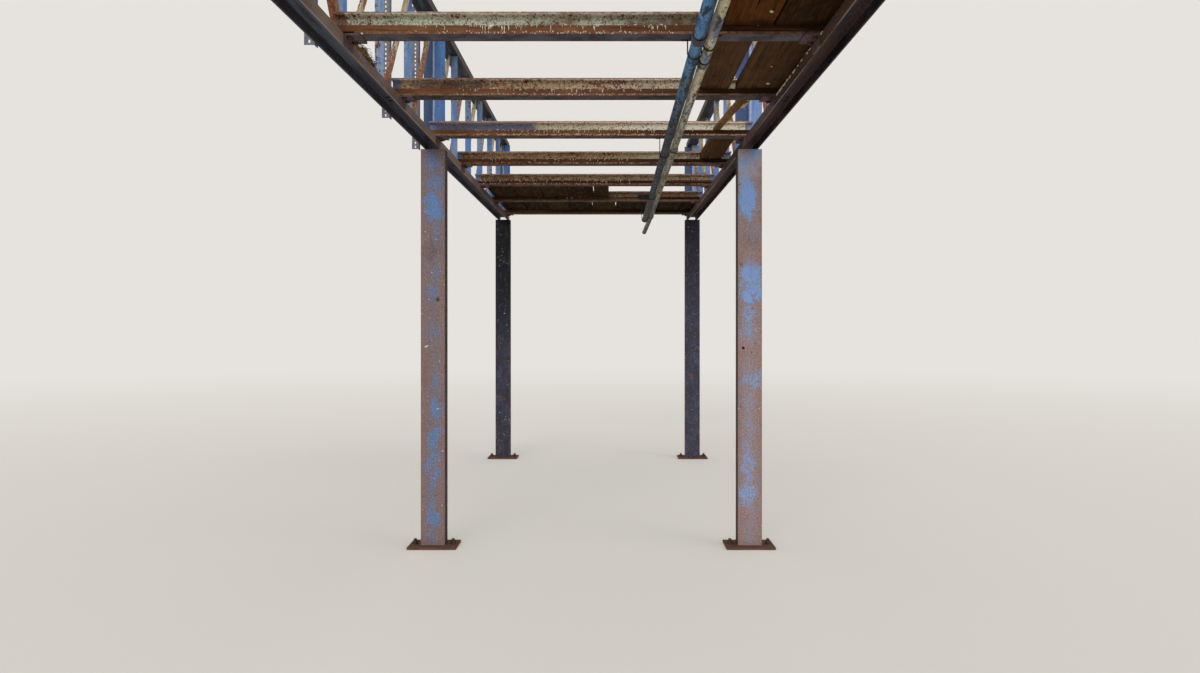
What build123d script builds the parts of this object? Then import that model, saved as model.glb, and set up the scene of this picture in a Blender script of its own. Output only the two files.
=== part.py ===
"""Steel mezzanine platform: four columns, two lattice side girders, seven cross joists and loose boards.

Millimetres, +Z up. The origin is on the ground, midway between the four columns' outer limits.
X runs across the platform, +Y along it from the near end to the far end.
"""
from build123d import *
import os

os.makedirs("parts", exist_ok=True)

# Overall layout
GIRDER_CENTRES = 2000.0
SOFFIT_HEIGHT = 2515.0
GIRDER_CLEAR_HEIGHT = 734.0
JOIST_COUNT = 7
JOIST_PITCH = 915.0
FIRST_JOIST_FROM_NEAR_END = 570.0
FAR_OVERHANG = 181.0
FRONT_ROW_AFTER_JOIST = 3
FRONT_ROW_GAP = 65.0
REAR_ROW_GAP = 21.0
PANELS_BETWEEN_ROWS = 6
PANELS_BEFORE_FRONT_ROW = 4

# Rolled sections: depth, width, web, flange and root radius
COLUMN_DEPTH = 152.0
COLUMN_FLANGE = 89.0
COLUMN_WEB = 7.1
COLUMN_FLANGE_THICK = 11.6
COLUMN_ROOT = 13.0
CHORD_WIDTH = 102.0
CHORD_FLANGE = 51.0
CHORD_WEB = 6.1
CHORD_FLANGE_THICK = 7.6
CHORD_ROOT = 9.0
JOIST_SIZE = 89.0
JOIST_WEB = 9.5
JOIST_FLANGE_THICK = 9.9
JOIST_ROOT = 7.0
POST_LEG = 76.0
POST_THICK = 8.0
UPRIGHT_LEG = 45.0
UPRIGHT_THICK = 5.0
DIAGONAL_LEG = 32.0
DIAGONAL_THICK = 5.0
ANGLE_ROOT = 5.0

# Column feet and heads
BASE_LENGTH = 305.0
BASE_WIDTH = 203.0
BASE_THICK = 15.0
ANCHOR_SPACING = 241.0
ANCHOR_HOLE = 22.0
CAP_THICK = 10.0

# Joist ends
JOIST_BEARING = 46.0
NOTCH_LENGTH = 85.0
CLEAT_LENGTH = 110.0
CLEAT_ACROSS = 64.0
CLEAT_DOWN = 51.0
CLEAT_THICK = 8.0
CHORD_HOLE = 14.0
CHORD_HOLE_PITCH = 66.0
CHORD_HOLE_PAST_JOIST = 18.0
HOLED_JOISTS = [2, 3, 4, 5]

# Timber
BATTEN_WIDTH = 32.0
BATTEN_HEIGHT = 25.0
BATTEN_END_GAP = 12.0
BOARD_THICK = 38.0
BOARD_END_GAP = 8.0
SLEEPER_WIDTH = 75.0
SLEEPER_FROM_END = 10.0
SLEEPER_BEARING = 60.0
STRIP_THICK = 19.0
BOARD_SIDE_GAP = 17.0
BOARD_LEAST = 10.0
# Bay number (0 is before joist 1), the side its boards are laid from, then each gap and board width.
# The full bay repeats its last board until it is filled.
FULL_BAY = 6
BOARDS = {
    0: ("right", [(0.0, 210.0), (10.0, 210.0)]),
    1: ("right", [(0.0, 225.0), (40.0, 145.0)]),
    3: ("right", [(60.0, 150.0)]),
    5: ("left", [(30.0, 225.0), (7.0, 225.0), (9.0, 225.0), (6.0, 225.0), (8.0, 132.0)]),
    6: ("left", [(30.0, 225.0), (8.0, 225.0), (6.0, 200.0), (8.0, 225.0), (7.0, 225.0),
                 (9.0, 175.0), (8.0, 225.0)]),
}
STRIP_BAY = 2
STRIP_FROM_SIDE = 140.0
STRIP_WIDTH = 38.0
STRIP_SKEW = 4.0
STRIP_SHORT_WIDTH = 24.0
STRIP_SHORT_LENGTH = 330.0

# Slotted angle
SLOTTED_LEG = 41.0
SLOTTED_THICK = 2.5
# Panel point number, distance from its centre line to the post's near edge, and drop below the soffit
SLOTTED_POSTS = [(-3, -271.0, 9.0), (-2, 287.0, 15.0), (0, -219.0, 36.0)]
SLOT_LENGTH = 13.0
SLOT_WIDTH = 8.0
SLOT_PITCH = 25.0
SLOT_EDGE = 14.0

# Pipes under the joists
BLUE_OD = 50.0
CREAM_OD = 42.0
PIPE_WALL = 3.5
BLUE_PIPE_X = 455.0
PIPE_CENTRES = 54.0
PIPE_END_SETBACK = 5.0
BLUE_NEAR_DROP = 36.0
BLUE_FAR_DROP = 165.0
CREAM_NEAR_DROP = 25.0
CREAM_FAR_DROP = 147.0
PIPE_PAST_HANGER = 70.0
CREAM_TAIL_RUN = 650.0
CREAM_TAIL_DROP = 66.0
CREAM_TAIL_ASIDE = 30.0
BEND_RADIUS = 300.0
SLEEVE_WALL = 4.5
SLEEVE_LENGTH = 62.0
BLUE_SLEEVE_FROM_JOIST = -185.0
CREAM_SLEEVE_FROM_JOIST = 145.0
TEE_BEFORE_JOIST = (5, 255.0)
TEE_OD = 60.0
TEE_LENGTH = 96.0
TEE_BRANCH = 110.0
TEE_BRANCH_OD = 46.0
TEE_BRANCH_BORE = 34.0
TEE_CLEARANCE = 0.3
HANGER_BAR = 5.0
HANGER_FOOT = 24.0
HANGER_FROM_WEB = 28.0
HANGER_CLEARANCE = 1.0
HANGER_JOISTS = [1, 3, 6]

# Levels and lines worked out from the sizes above
LAST_JOIST_EDGE = FIRST_JOIST_FROM_NEAR_END + JOIST_PITCH * (JOIST_COUNT - 1) + JOIST_SIZE
PLATFORM_LENGTH = LAST_JOIST_EDGE + FAR_OVERHANG
NEAR_Y = -PLATFORM_LENGTH / 2
CHORD_TOP = SOFFIT_HEIGHT + CHORD_FLANGE
GIRDER_TOP = CHORD_TOP + GIRDER_CLEAR_HEIGHT
GIRDER_X = GIRDER_CENTRES / 2
CHORD_INNER_X = GIRDER_X - CHORD_WIDTH / 2
CHORD_OUTER_X = GIRDER_X + CHORD_WIDTH / 2
REAR_ROW_Y = NEAR_Y + LAST_JOIST_EDGE + REAR_ROW_GAP + COLUMN_FLANGE / 2
FRONT_JOIST_EDGE = LAST_JOIST_EDGE - JOIST_PITCH * (JOIST_COUNT - FRONT_ROW_AFTER_JOIST)
FRONT_ROW_Y = NEAR_Y + FRONT_JOIST_EDGE + FRONT_ROW_GAP + COLUMN_FLANGE / 2
PANEL = (REAR_ROW_Y - FRONT_ROW_Y) / PANELS_BETWEEN_ROWS
JOIST_HALF_LENGTH = CHORD_INNER_X + JOIST_BEARING
FLANGE_TOP = CHORD_TOP + JOIST_FLANGE_THICK
BOARD_UNDERSIDE = FLANGE_TOP + BATTEN_HEIGHT
SIDES = {"left": -1, "right": 1}
ROWS = {"front": FRONT_ROW_Y, "rear": REAR_ROW_Y}


def joist_y(number):
    """Centre line of a joist, numbered from 1 at the near end."""
    return NEAR_Y + FIRST_JOIST_FROM_NEAR_END + JOIST_SIZE / 2 + JOIST_PITCH * (number - 1)


CREAM_PIPE_X = BLUE_PIPE_X + PIPE_CENTRES
PIPE_START_Y = NEAR_Y + PIPE_END_SETBACK
PIPE_KNEE_Y = joist_y(HANGER_JOISTS[-1]) + PIPE_PAST_HANGER


def block(x0, x1, y0, y1, z0, z1):
    """Rectangular solid between two corners."""
    size = (abs(x1 - x0), abs(y1 - y0), abs(z1 - z0))
    return Pos((x0 + x1) / 2, (y0 + y1) / 2, (z0 + z1) / 2) * Box(*size)


def outline(points, roots, radius):
    """Closed profile in the XY plane, rounded at the root corners."""
    face = make_face(Polyline(*points, close=True))
    corners = []
    for vertex in face.vertices():
        for x, y in roots:
            if abs(vertex.X - x) + abs(vertex.Y - y) < 0.01:
                corners.append(vertex)
    return fillet(corners, radius)


def channel_profile(depth, flange, web, thick, root):
    """Channel with the back of its web on the X axis and its toes towards +Y."""
    half = depth / 2
    points = [(-half, 0), (half, 0), (half, flange), (half - thick, flange), (half - thick, web),
              (thick - half, web), (thick - half, flange), (-half, flange)]
    return outline(points, [(half - thick, web), (thick - half, web)], root)


def angle_corners(leg, thick):
    """Corners of an equal angle with its heel at the origin, one leg along +X and one along +Y."""
    return [(0, 0), (leg, 0), (leg, thick), (thick, thick), (thick, leg), (0, leg)]


def joist_profile():
    """I section centred on the origin, its web along Y."""
    half = JOIST_SIZE / 2
    web = JOIST_WEB / 2
    level = half - JOIST_FLANGE_THICK
    right = [(web, level), (half, level), (half, half)]
    points = [(-web, -level), (-half, -level), (-half, -half), (half, -half), (half, -level), (web, -level)]
    points += right
    points += [(-half, half), (-half, level), (-web, level)]
    roots = [(web, level), (web, -level), (-web, level), (-web, -level)]
    return outline(points, roots, JOIST_ROOT)


def rise(profile, x, y, z, height, turn=0):
    """Profile extruded upwards from a point, turned about its own upright axis."""
    return Pos(x, y, z) * Rot(0, 0, turn) * extrude(profile, height)


def along_y(profile, x, y, z, length, flip=False):
    """Profile extruded along +Y; its own Y axis points up, or down when flipped."""
    solid = Rot(90, 0, 0) * extrude(profile, -length)
    if flip:
        solid = Rot(0, 180, 0) * solid
    return Pos(x, y, z) * solid


def column(side, row_y):
    """Channel column, its web towards the near end, with a cap plate under the chord."""
    x = side * GIRDER_X
    front = row_y - COLUMN_FLANGE / 2
    profile = channel_profile(COLUMN_DEPTH, COLUMN_FLANGE, COLUMN_WEB, COLUMN_FLANGE_THICK, COLUMN_ROOT)
    shaft = rise(profile, x, front, BASE_THICK, SOFFIT_HEIGHT - CAP_THICK - BASE_THICK)
    half = COLUMN_DEPTH / 2
    cap = block(x - half, x + half, front, front + COLUMN_FLANGE, SOFFIT_HEIGHT - CAP_THICK, SOFFIT_HEIGHT)
    return shaft + cap


def base_plate(side, row_y):
    """Foot plate with an anchor hole each side of the column."""
    x = side * GIRDER_X
    plate = block(x - BASE_LENGTH / 2, x + BASE_LENGTH / 2, row_y - BASE_WIDTH / 2, row_y + BASE_WIDTH / 2,
                  0, BASE_THICK)
    holes = GridLocations(ANCHOR_SPACING, 0, 2, 1)
    return plate - Pos(x, row_y, BASE_THICK / 2) * holes * Cylinder(ANCHOR_HOLE / 2, BASE_THICK * 2)


def upper_post(side, row_y):
    """Post above a column: two angles back to back, the near one facing right and the far one left."""
    profile = outline(angle_corners(POST_LEG, POST_THICK), [(POST_THICK, POST_THICK)], ANGLE_ROOT)
    x = side * GIRDER_X
    near = rise(profile, x, row_y - COLUMN_FLANGE / 2, CHORD_TOP, GIRDER_CLEAR_HEIGHT)
    far = rise(profile, x, row_y + COLUMN_FLANGE / 2, CHORD_TOP, GIRDER_CLEAR_HEIGHT, turn=180)
    return near + far


def chord_profile():
    """The channel used for all four chords."""
    return channel_profile(CHORD_WIDTH, CHORD_FLANGE, CHORD_WEB, CHORD_FLANGE_THICK, CHORD_ROOT)


def bottom_chord(side):
    """Channel laid flat, toes down, with a pair of open bolt holes past the ends of some joists."""
    chord = along_y(chord_profile(), side * GIRDER_X, NEAR_Y, CHORD_TOP, PLATFORM_LENGTH, flip=True)
    x = side * (JOIST_HALF_LENGTH + CHORD_HOLE_PAST_JOIST)
    for number in HOLED_JOISTS:
        pair = GridLocations(0, CHORD_HOLE_PITCH, 1, 2)
        chord -= Pos(x, joist_y(number), CHORD_TOP) * pair * Cylinder(CHORD_HOLE / 2, CHORD_WEB * 4)
    return chord


def top_chord(side):
    """Channel laid flat, toes up, its web on the heads of the uprights."""
    return along_y(chord_profile(), side * GIRDER_X, NEAR_Y, GIRDER_TOP, PLATFORM_LENGTH)


def panel_points():
    """Upright positions by panel number, with half the space that each one takes along the girder."""
    points = {}
    for number in range(-PANELS_BEFORE_FRONT_ROW, PANELS_BETWEEN_ROWS + 1):
        over_column = number in (0, PANELS_BETWEEN_ROWS)
        half = COLUMN_FLANGE / 2 if over_column else UPRIGHT_LEG / 2
        points[number] = (FRONT_ROW_Y + number * PANEL, half, over_column)
    return points


def uprights(side):
    """Angle uprights between the posts: on the chord's outer half, or its inner half at the left rear."""
    profile = make_face(Polyline(*angle_corners(UPRIGHT_LEG, UPRIGHT_THICK), close=True))
    solids = []
    for number, (y, half, over_column) in panel_points().items():
        heel = -GIRDER_X if number > 0 else -GIRDER_X - UPRIGHT_LEG
        turned = profile
        if side > 0:
            heel = GIRDER_X + UPRIGHT_LEG
            turned = mirror(profile, Plane.YZ)
        if not over_column:
            solids.append(rise(turned, heel, y - half, CHORD_TOP, GIRDER_CLEAR_HEIGHT))
    return Compound(solids)


def diagonals(side):
    """Angle diagonals, one to a panel and cut to fit; only the first rises towards the near end."""
    points = panel_points()
    x0 = side * (GIRDER_X + UPRIGHT_THICK)
    x1 = x0 + side * DIAGONAL_LEG
    solids = []
    for number in range(-PANELS_BEFORE_FRONT_ROW, PANELS_BETWEEN_ROWS):
        near = points[number][0] + points[number][1]
        far = points[number + 1][0] - points[number + 1][1]
        panel = block(x0, x1, near, far, CHORD_TOP, GIRDER_TOP)
        foot, head, way = near, far, 1
        if number == -PANELS_BEFORE_FRONT_ROW:
            foot, head, way = far, near, -1
        toe = foot + way * DIAGONAL_LEG
        low = [(foot, CHORD_TOP), (toe, CHORD_TOP), (head, GIRDER_TOP - DIAGONAL_LEG), (head, GIRDER_TOP),
               (head - way * DIAGONAL_LEG, GIRDER_TOP), (foot, CHORD_TOP + DIAGONAL_LEG)]
        web = extrude(Plane.YZ * make_face(Polyline(*low, close=True)), side * DIAGONAL_THICK)
        web = Pos(x0, 0, 0) * web
        edge = [(toe - way * DIAGONAL_THICK, CHORD_TOP), (toe, CHORD_TOP), (head, GIRDER_TOP - DIAGONAL_LEG),
                (head, GIRDER_TOP - DIAGONAL_LEG + DIAGONAL_THICK)]
        leg = extrude(Plane.YZ * make_face(Polyline(*edge, close=True)), side * DIAGONAL_LEG)
        leg = Pos(x0, 0, 0) * leg
        solids.append((web + leg) & panel)
    return Compound(solids)


def joist(number):
    """Cross joist; joist 1 has the near half of its bottom flange notched away at the left end."""
    solid = Pos(-JOIST_HALF_LENGTH, joist_y(number), CHORD_TOP + JOIST_SIZE / 2) * Rot(0, 0, 90) * Rot(
        90, 0, 0) * extrude(joist_profile(), 2 * JOIST_HALF_LENGTH)
    if number == 1:
        y = joist_y(number)
        notch_end = NOTCH_LENGTH - JOIST_HALF_LENGTH
        solid -= block(-JOIST_HALF_LENGTH, notch_end, y - JOIST_SIZE, y - JOIST_WEB / 2,
                       CHORD_TOP - JOIST_FLANGE_THICK, FLANGE_TOP)
    return solid


def seat_cleats(side):
    """Angle seats on the chord's inner face, one under each joist end."""
    heel = side * CHORD_INNER_X
    solids = []
    for number in range(1, JOIST_COUNT + 1):
        y0 = joist_y(number) - CLEAT_LENGTH / 2
        y1 = y0 + CLEAT_LENGTH
        seat = block(heel, heel - side * CLEAT_ACROSS, y0, y1, CHORD_TOP - CLEAT_THICK, CHORD_TOP)
        drop = block(heel, heel - side * CLEAT_THICK, y0, y1, CHORD_TOP - CLEAT_DOWN, CHORD_TOP)
        solids.append(seat + drop)
    return Compound(solids)


def battens():
    """Timber battens on the joists' bottom flanges, one each side of every web."""
    half = JOIST_HALF_LENGTH - BATTEN_END_GAP
    solids = []
    for number in range(1, JOIST_COUNT + 1):
        for side in (-1, 1):
            outer = joist_y(number) + side * JOIST_SIZE / 2
            inner = outer - side * BATTEN_WIDTH
            solids.append(block(-half, half, outer, inner, FLANGE_TOP, BOARD_UNDERSIDE))
    return Compound(solids)


def bay_span(bay):
    """Y of the near and far ends of the boards in a bay."""
    far = joist_y(bay + 1) - JOIST_WEB / 2 - BOARD_END_GAP
    if bay == 0:
        return NEAR_Y + SLEEPER_FROM_END, far
    return joist_y(bay) + JOIST_WEB / 2 + BOARD_END_GAP, far


def lay(side_name, boards, full):
    """Left and right edges of boards laid in from one side, the last one cut to fit."""
    side = SIDES[side_name]
    limit = JOIST_HALF_LENGTH - BOARD_SIDE_GAP
    rows = list(boards)
    while full and sum(gap + width for gap, width in rows) < 2 * limit:
        rows.append(boards[-1])
    reach = 0
    edges = []
    for gap, width in rows:
        start = reach + gap
        reach = min(start + width, 2 * limit)
        if reach - start > BOARD_LEAST:
            edges.append(sorted([side * (limit - start), side * (limit - reach)]))
    return edges


def bay_boards(bay):
    """Short deck boards that drop between two joists."""
    near, far = bay_span(bay)
    solids = []
    for left, right in lay(*BOARDS[bay], bay == FULL_BAY):
        solids.append(block(left, right, near, far, BOARD_UNDERSIDE, BOARD_UNDERSIDE + BOARD_THICK))
    return Compound(solids)


def bay_strips():
    """A narrow strip lying askew across an otherwise open bay, with a shorter one against it."""
    near, far = bay_span(STRIP_BAY)
    x = JOIST_HALF_LENGTH - STRIP_FROM_SIDE
    top = BOARD_UNDERSIDE + STRIP_THICK
    bay = block(-JOIST_HALF_LENGTH, JOIST_HALF_LENGTH, near, far, BOARD_UNDERSIDE, top)
    reach = far - near + 2 * STRIP_WIDTH
    long = Box(STRIP_WIDTH, reach, STRIP_THICK, align=(Align.MAX, Align.MIN, Align.MIN))
    short = Box(STRIP_SHORT_WIDTH, STRIP_WIDTH + STRIP_SHORT_LENGTH, STRIP_THICK,
                align=(Align.MIN, Align.MIN, Align.MIN))
    both = Pos(x, near - STRIP_WIDTH, BOARD_UNDERSIDE) * Rot(0, 0, STRIP_SKEW) * (long + short)
    return both & bay


def near_sleeper():
    """Timber laid across both bottom chords at the near end, under the first boards."""
    half = CHORD_INNER_X + SLEEPER_BEARING
    y0 = NEAR_Y + SLEEPER_FROM_END
    return block(-half, half, y0, y0 + SLEEPER_WIDTH, CHORD_TOP, BOARD_UNDERSIDE)


def slotted_post(number, offset, drop):
    """Upright slotted angle against the outer flanges of both left chords, slotted leg facing near."""
    top = GIRDER_TOP + CHORD_FLANGE
    bottom = SOFFIT_HEIGHT - drop
    heel = -CHORD_OUTER_X
    y = FRONT_ROW_Y + PANEL * number + offset
    solid = block(heel, heel - SLOTTED_THICK, y, y + SLOTTED_LEG, bottom, top)
    solid += block(heel, heel - SLOTTED_LEG, y, y + SLOTTED_THICK, bottom, top)
    count = int((top - bottom - 2 * SLOT_EDGE) // SLOT_PITCH) + 1
    cutters = [Pos(heel - SLOTTED_LEG / 2, y, bottom + SLOT_EDGE + SLOT_PITCH * index) * Box(
        SLOT_WIDTH, SLOTTED_LEG / 2, SLOT_LENGTH) for index in range(count)]
    return solid - cutters


def slotted_posts():
    """The three slotted angles on the left girder."""
    return Compound([slotted_post(*place) for place in SLOTTED_POSTS])


def fall(y, near_drop, far_drop):
    """Height of a pipe's centre line on its straight fall below the joists."""
    share = (y - NEAR_Y) / (PIPE_KNEE_Y - NEAR_Y)
    return CHORD_TOP - near_drop - (far_drop - near_drop) * share


def blue_z(y):
    """Height of the blue pipe's centre line."""
    return fall(y, BLUE_NEAR_DROP, BLUE_FAR_DROP)


def cream_z(y):
    """Height of the cream pipe's centre line."""
    return fall(y, CREAM_NEAR_DROP, CREAM_FAR_DROP)


def tube(path, outside, inside):
    """Round tube along a path."""
    start = Plane(origin=path @ 0, z_dir=path % 0)
    return sweep(start * (Circle(outside / 2) - Circle(inside / 2)), path)


def sleeve(x, height, outside, from_joist):
    """Screwed sleeve round a pipe, near joist 1."""
    start = joist_y(1) + from_joist
    end = start + SLEEVE_LENGTH
    return tube(Line((x, start, height(start)), (x, end, height(end))), outside + 2 * SLEEVE_WALL, outside)


def blue_pipe():
    """Straight pipe with one screwed sleeve."""
    x = BLUE_PIPE_X
    path = Line((x, PIPE_START_Y, blue_z(PIPE_START_Y)), (x, PIPE_KNEE_Y, blue_z(PIPE_KNEE_Y)))
    pipe = tube(path, BLUE_OD, BLUE_OD - 2 * PIPE_WALL)
    return pipe + sleeve(x, blue_z, BLUE_OD, BLUE_SLEEVE_FROM_JOIST)


def cream_pipe():
    """Thinner pipe beside the first, its open far end bent down and aside."""
    x = CREAM_PIPE_X
    knee = (x, PIPE_KNEE_Y, cream_z(PIPE_KNEE_Y))
    end = (x - CREAM_TAIL_ASIDE, PIPE_KNEE_Y + CREAM_TAIL_RUN, knee[2] - CREAM_TAIL_DROP)
    path = FilletPolyline((x, PIPE_START_Y, cream_z(PIPE_START_Y)), knee, end, radius=BEND_RADIUS)
    pipe = tube(path, CREAM_OD, CREAM_OD - 2 * PIPE_WALL)
    return pipe + sleeve(x, cream_z, CREAM_OD, CREAM_SLEEVE_FROM_JOIST)


def pipe_tee():
    """Tee round the blue pipe, its open branch pointing left."""
    number, before = TEE_BEFORE_JOIST
    y = joist_y(number) - before
    along = Vector(0, 1, blue_z(y + 1) - blue_z(y)).normalized()
    frame = Plane(origin=(BLUE_PIPE_X, y, blue_z(y)), x_dir=(1, 0, 0), z_dir=along)
    outward = (Align.CENTER, Align.CENTER, Align.MIN)
    body = Cylinder(TEE_OD / 2, TEE_LENGTH)
    body += Rot(0, -90, 0) * Cylinder(TEE_BRANCH_OD / 2, TEE_BRANCH, align=outward)
    body -= Rot(0, -90, 0) * Cylinder(TEE_BRANCH_BORE / 2, TEE_BRANCH, align=outward)
    body -= Cylinder(BLUE_OD / 2 + TEE_CLEARANCE, TEE_LENGTH)
    return frame * body


def pipe_hook(x, height, outside, y):
    """Square bar bent in a U under a pipe, its two feet under a joist's bottom flange."""
    z = height(y)
    inner = outside / 2 + HANGER_CLEARANCE
    outer = inner + HANGER_BAR
    ring = Rot(90, 0, 0) * (Cylinder(outer, HANGER_BAR) - Cylinder(inner, HANGER_BAR))
    ring -= Pos(0, 0, outer) * Box(2 * outer, 2 * HANGER_BAR, 2 * outer)
    solid = Pos(x, y, z) * ring
    y0 = y - HANGER_BAR / 2
    y1 = y + HANGER_BAR / 2
    for side in (-1, 1):
        edge = x + side * inner
        tip = x + side * (outer + HANGER_FOOT)
        solid += block(edge, x + side * outer, y0, y1, z, CHORD_TOP)
        solid += block(edge, tip, y0, y1, CHORD_TOP - HANGER_BAR, CHORD_TOP)
    return solid


def pipe_hangers():
    """A hook for each pipe at some of the joists."""
    hooks = []
    for number in HANGER_JOISTS:
        hooks.append(pipe_hook(BLUE_PIPE_X, blue_z, BLUE_OD, joist_y(number) + HANGER_FROM_WEB))
        hooks.append(pipe_hook(CREAM_PIPE_X, cream_z, CREAM_OD, joist_y(number) - HANGER_FROM_WEB))
    return Compound(hooks)


pieces = {}
for row, row_y in ROWS.items():
    for side_name, side in SIDES.items():
        pieces[f"{row}_{side_name}_column"] = column(side, row_y)
        pieces[f"{row}_{side_name}_base_plate"] = base_plate(side, row_y)
        pieces[f"{row}_{side_name}_post"] = upper_post(side, row_y)
for side_name, side in SIDES.items():
    pieces[f"{side_name}_bottom_chord"] = bottom_chord(side)
    pieces[f"{side_name}_top_chord"] = top_chord(side)
    pieces[f"{side_name}_uprights"] = uprights(side)
    pieces[f"{side_name}_diagonals"] = diagonals(side)
    pieces[f"{side_name}_seat_cleats"] = seat_cleats(side)
for number in range(1, JOIST_COUNT + 1):
    pieces[f"joist_{number}"] = joist(number)
pieces["joist_battens"] = battens()
for bay in BOARDS:
    pieces[f"bay_{bay}_boards"] = bay_boards(bay)
pieces["bay_2_strips"] = bay_strips()
pieces["near_sleeper"] = near_sleeper()
pieces["slotted_posts"] = slotted_posts()
pieces["blue_pipe"] = blue_pipe()
pieces["cream_pipe"] = cream_pipe()
pieces["pipe_tee"] = pipe_tee()
pieces["pipe_hangers"] = pipe_hangers()

for name, shape in pieces.items():
    export_step(shape, f"parts/{name}.step")
    box = shape.bounding_box()
    print(name, [round(v) for v in (*box.min, *box.max)], round(shape.volume / 1e6, 3), "litres")
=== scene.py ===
# %% [markdown]
# # A steel mezzanine platform, dressed in Blender
#
# The real object is a small steel platform in a derelict works: four columns, two lattice side
# girders, seven rolled joists across, and the last loose boards of its deck. Its shape is already
# modelled to size. What is left for Blender is what the eye reads first: old paint over primer over
# rust, weathered timber, bolts, and a plain place to stand it in.

# %% Load the solids
import bpy
import bmesh
import math
import random
from mathutils import Matrix, Vector


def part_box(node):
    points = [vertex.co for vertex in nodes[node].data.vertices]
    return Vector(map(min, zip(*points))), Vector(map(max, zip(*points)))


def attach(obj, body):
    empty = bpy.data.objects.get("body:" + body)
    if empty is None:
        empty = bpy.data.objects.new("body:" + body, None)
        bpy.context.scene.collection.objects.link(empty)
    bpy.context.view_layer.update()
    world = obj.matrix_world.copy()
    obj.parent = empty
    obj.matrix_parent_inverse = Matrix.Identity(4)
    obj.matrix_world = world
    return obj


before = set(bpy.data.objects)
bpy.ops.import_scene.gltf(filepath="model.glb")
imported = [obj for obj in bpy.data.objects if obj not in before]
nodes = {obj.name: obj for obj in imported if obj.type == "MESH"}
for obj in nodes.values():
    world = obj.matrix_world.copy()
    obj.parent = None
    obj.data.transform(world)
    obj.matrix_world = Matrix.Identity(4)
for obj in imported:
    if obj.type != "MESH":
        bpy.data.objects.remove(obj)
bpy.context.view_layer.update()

# %% [markdown]
# ## The view
#
# The photograph was taken standing up, with the camera level and looking straight down the length
# of the platform. The floor lines and the girders meet a little above the middle of the picture, so
# the lens is shifted by those few pixels instead of tilting the camera, which keeps the columns
# upright. The picture is taken to be 1200 by 673 pixels.

# %% Camera
PICTURE_WIDTH = 1200.0
FOCAL_PIXELS = 855.0
EYE = Vector((0.0985, -6.005, 1.405))
VANISHING_POINT = (607.0, 325.0)
PICTURE_CENTRE = (600.0, 336.5)

camera_data = bpy.data.cameras.new("eye")
camera_data.sensor_width = 36.0
camera_data.lens = 36.0 * FOCAL_PIXELS / PICTURE_WIDTH
camera_data.shift_x = (PICTURE_CENTRE[0] - VANISHING_POINT[0]) / PICTURE_WIDTH
camera_data.shift_y = (VANISHING_POINT[1] - PICTURE_CENTRE[1]) / PICTURE_WIDTH
camera_data.clip_end = 200.0
camera = bpy.data.objects.new("eye", camera_data)
camera.location = EYE
camera.rotation_euler = (math.pi / 2, 0.0, 0.0)
bpy.context.scene.collection.objects.link(camera)
bpy.context.scene.camera = camera
print("lens:", round(camera_data.lens, 2), "mm")

# %% [markdown]
# ## Helpers for colours and nodes
#
# Paint makers give colours as sRGB hex values, but Blender's shaders add and mix light, so every hex
# value is turned to linear by one function. A second one starts a material's node tree and keeps it in
# hand. A third adds one node to the tree in hand, sets what is given, and links what comes from
# another node. All kinds of shader node have names that start with ShaderNode, so it adds that.

# %% Colour and node helpers
def linear(hex_code, alpha=1.0):
    channels = [int(hex_code[i:i + 2], 16) / 255.0 for i in (1, 3, 5)]
    return [c / 12.92 if c <= 0.04045 else ((c + 0.055) / 1.055) ** 2.4 for c in channels] + [alpha]


in_hand = {}


def take_up(owner):
    """Start the node tree of a material or world. What is added next goes into the one in hand."""
    owner.use_nodes = True
    owner.node_tree.nodes.clear()
    in_hand["owner"] = owner


def add(kind, links=None, **settings):
    """Add a node, set its settings, then fill its sockets or link them to other nodes."""
    tree = in_hand["owner"].node_tree
    made = tree.nodes.new("ShaderNode" + kind)
    for name, value in settings.items():
        setattr(made, name, value)
    for socket, source in (links or {}).items():
        if isinstance(source, bpy.types.NodeSocket):
            tree.links.new(source, made.inputs[socket])
        else:
            made.inputs[socket].default_value = source
    return made


print("mid grey #808080 is", round(linear("#808080")[0], 3), "in linear light")

# %% [markdown]
# ## How old paint is drawn
#
# Old paint is a stack: steel, rust, primer, top coat, dirt. Each layer shows through gaps in the one
# above it, so each finish below starts from the lowest colour and lays the next one over it through a
# mask. A mask is noise cut at a level. Its size comes from the real patches in millimetres, and a
# stretch along one axis turns round patches into runs or grain. Where wear has a reason, such as an
# edge or a place that hands reach, that reason is a second value added to the noise before the cut,
# so the patch keeps a ragged border. Dust and droppings have a reason too: they lie only on faces that
# look up. The colour so far stays in hand as the node tree does, and each coat is laid over it.
#
# Nearly all values of the noise lie between 0.32 and 0.68. A cut from 0.4 to 0.6 is a soft mottle, and
# one from 0.56 to 0.58 leaves small islands with a hard border. Each finish has its own seed, and each
# noise in it adds a small number to that, so no two layers share their blots.

# %% Masks and layers
METRE = 1000.0


def both(mask, other):
    """Where two masks overlap, or a mask at a share of its strength."""
    return add("Math", {0: mask, 1: other}, operation="MULTIPLY").outputs[0]


def either(mask, other):
    """Where at least one of two masks lies."""
    return add("Math", {0: mask, 1: other}, operation="MAXIMUM").outputs[0]


def rest(mask):
    """What a mask leaves out."""
    return add("Math", {0: 1.0, 1: mask}, operation="SUBTRACT").outputs[0]


def total(*terms):
    """Sum of terms. A term is a value, or (value, factor, centre) for factor * (value - centre). Left
    out, the centre is 0.5, the middle of noise."""
    terms = [(*term, 0.5)[:3] if isinstance(term, tuple) else (term, 1.0, 0.0) for term in terms]
    result = -sum(factor * centre for _, factor, centre in terms)
    for value, factor, _ in terms:
        made = add("Math", {0: value, 1: factor, 2: result}, operation="MULTIPLY_ADD")
        result = made.outputs[0]
    return result


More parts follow.
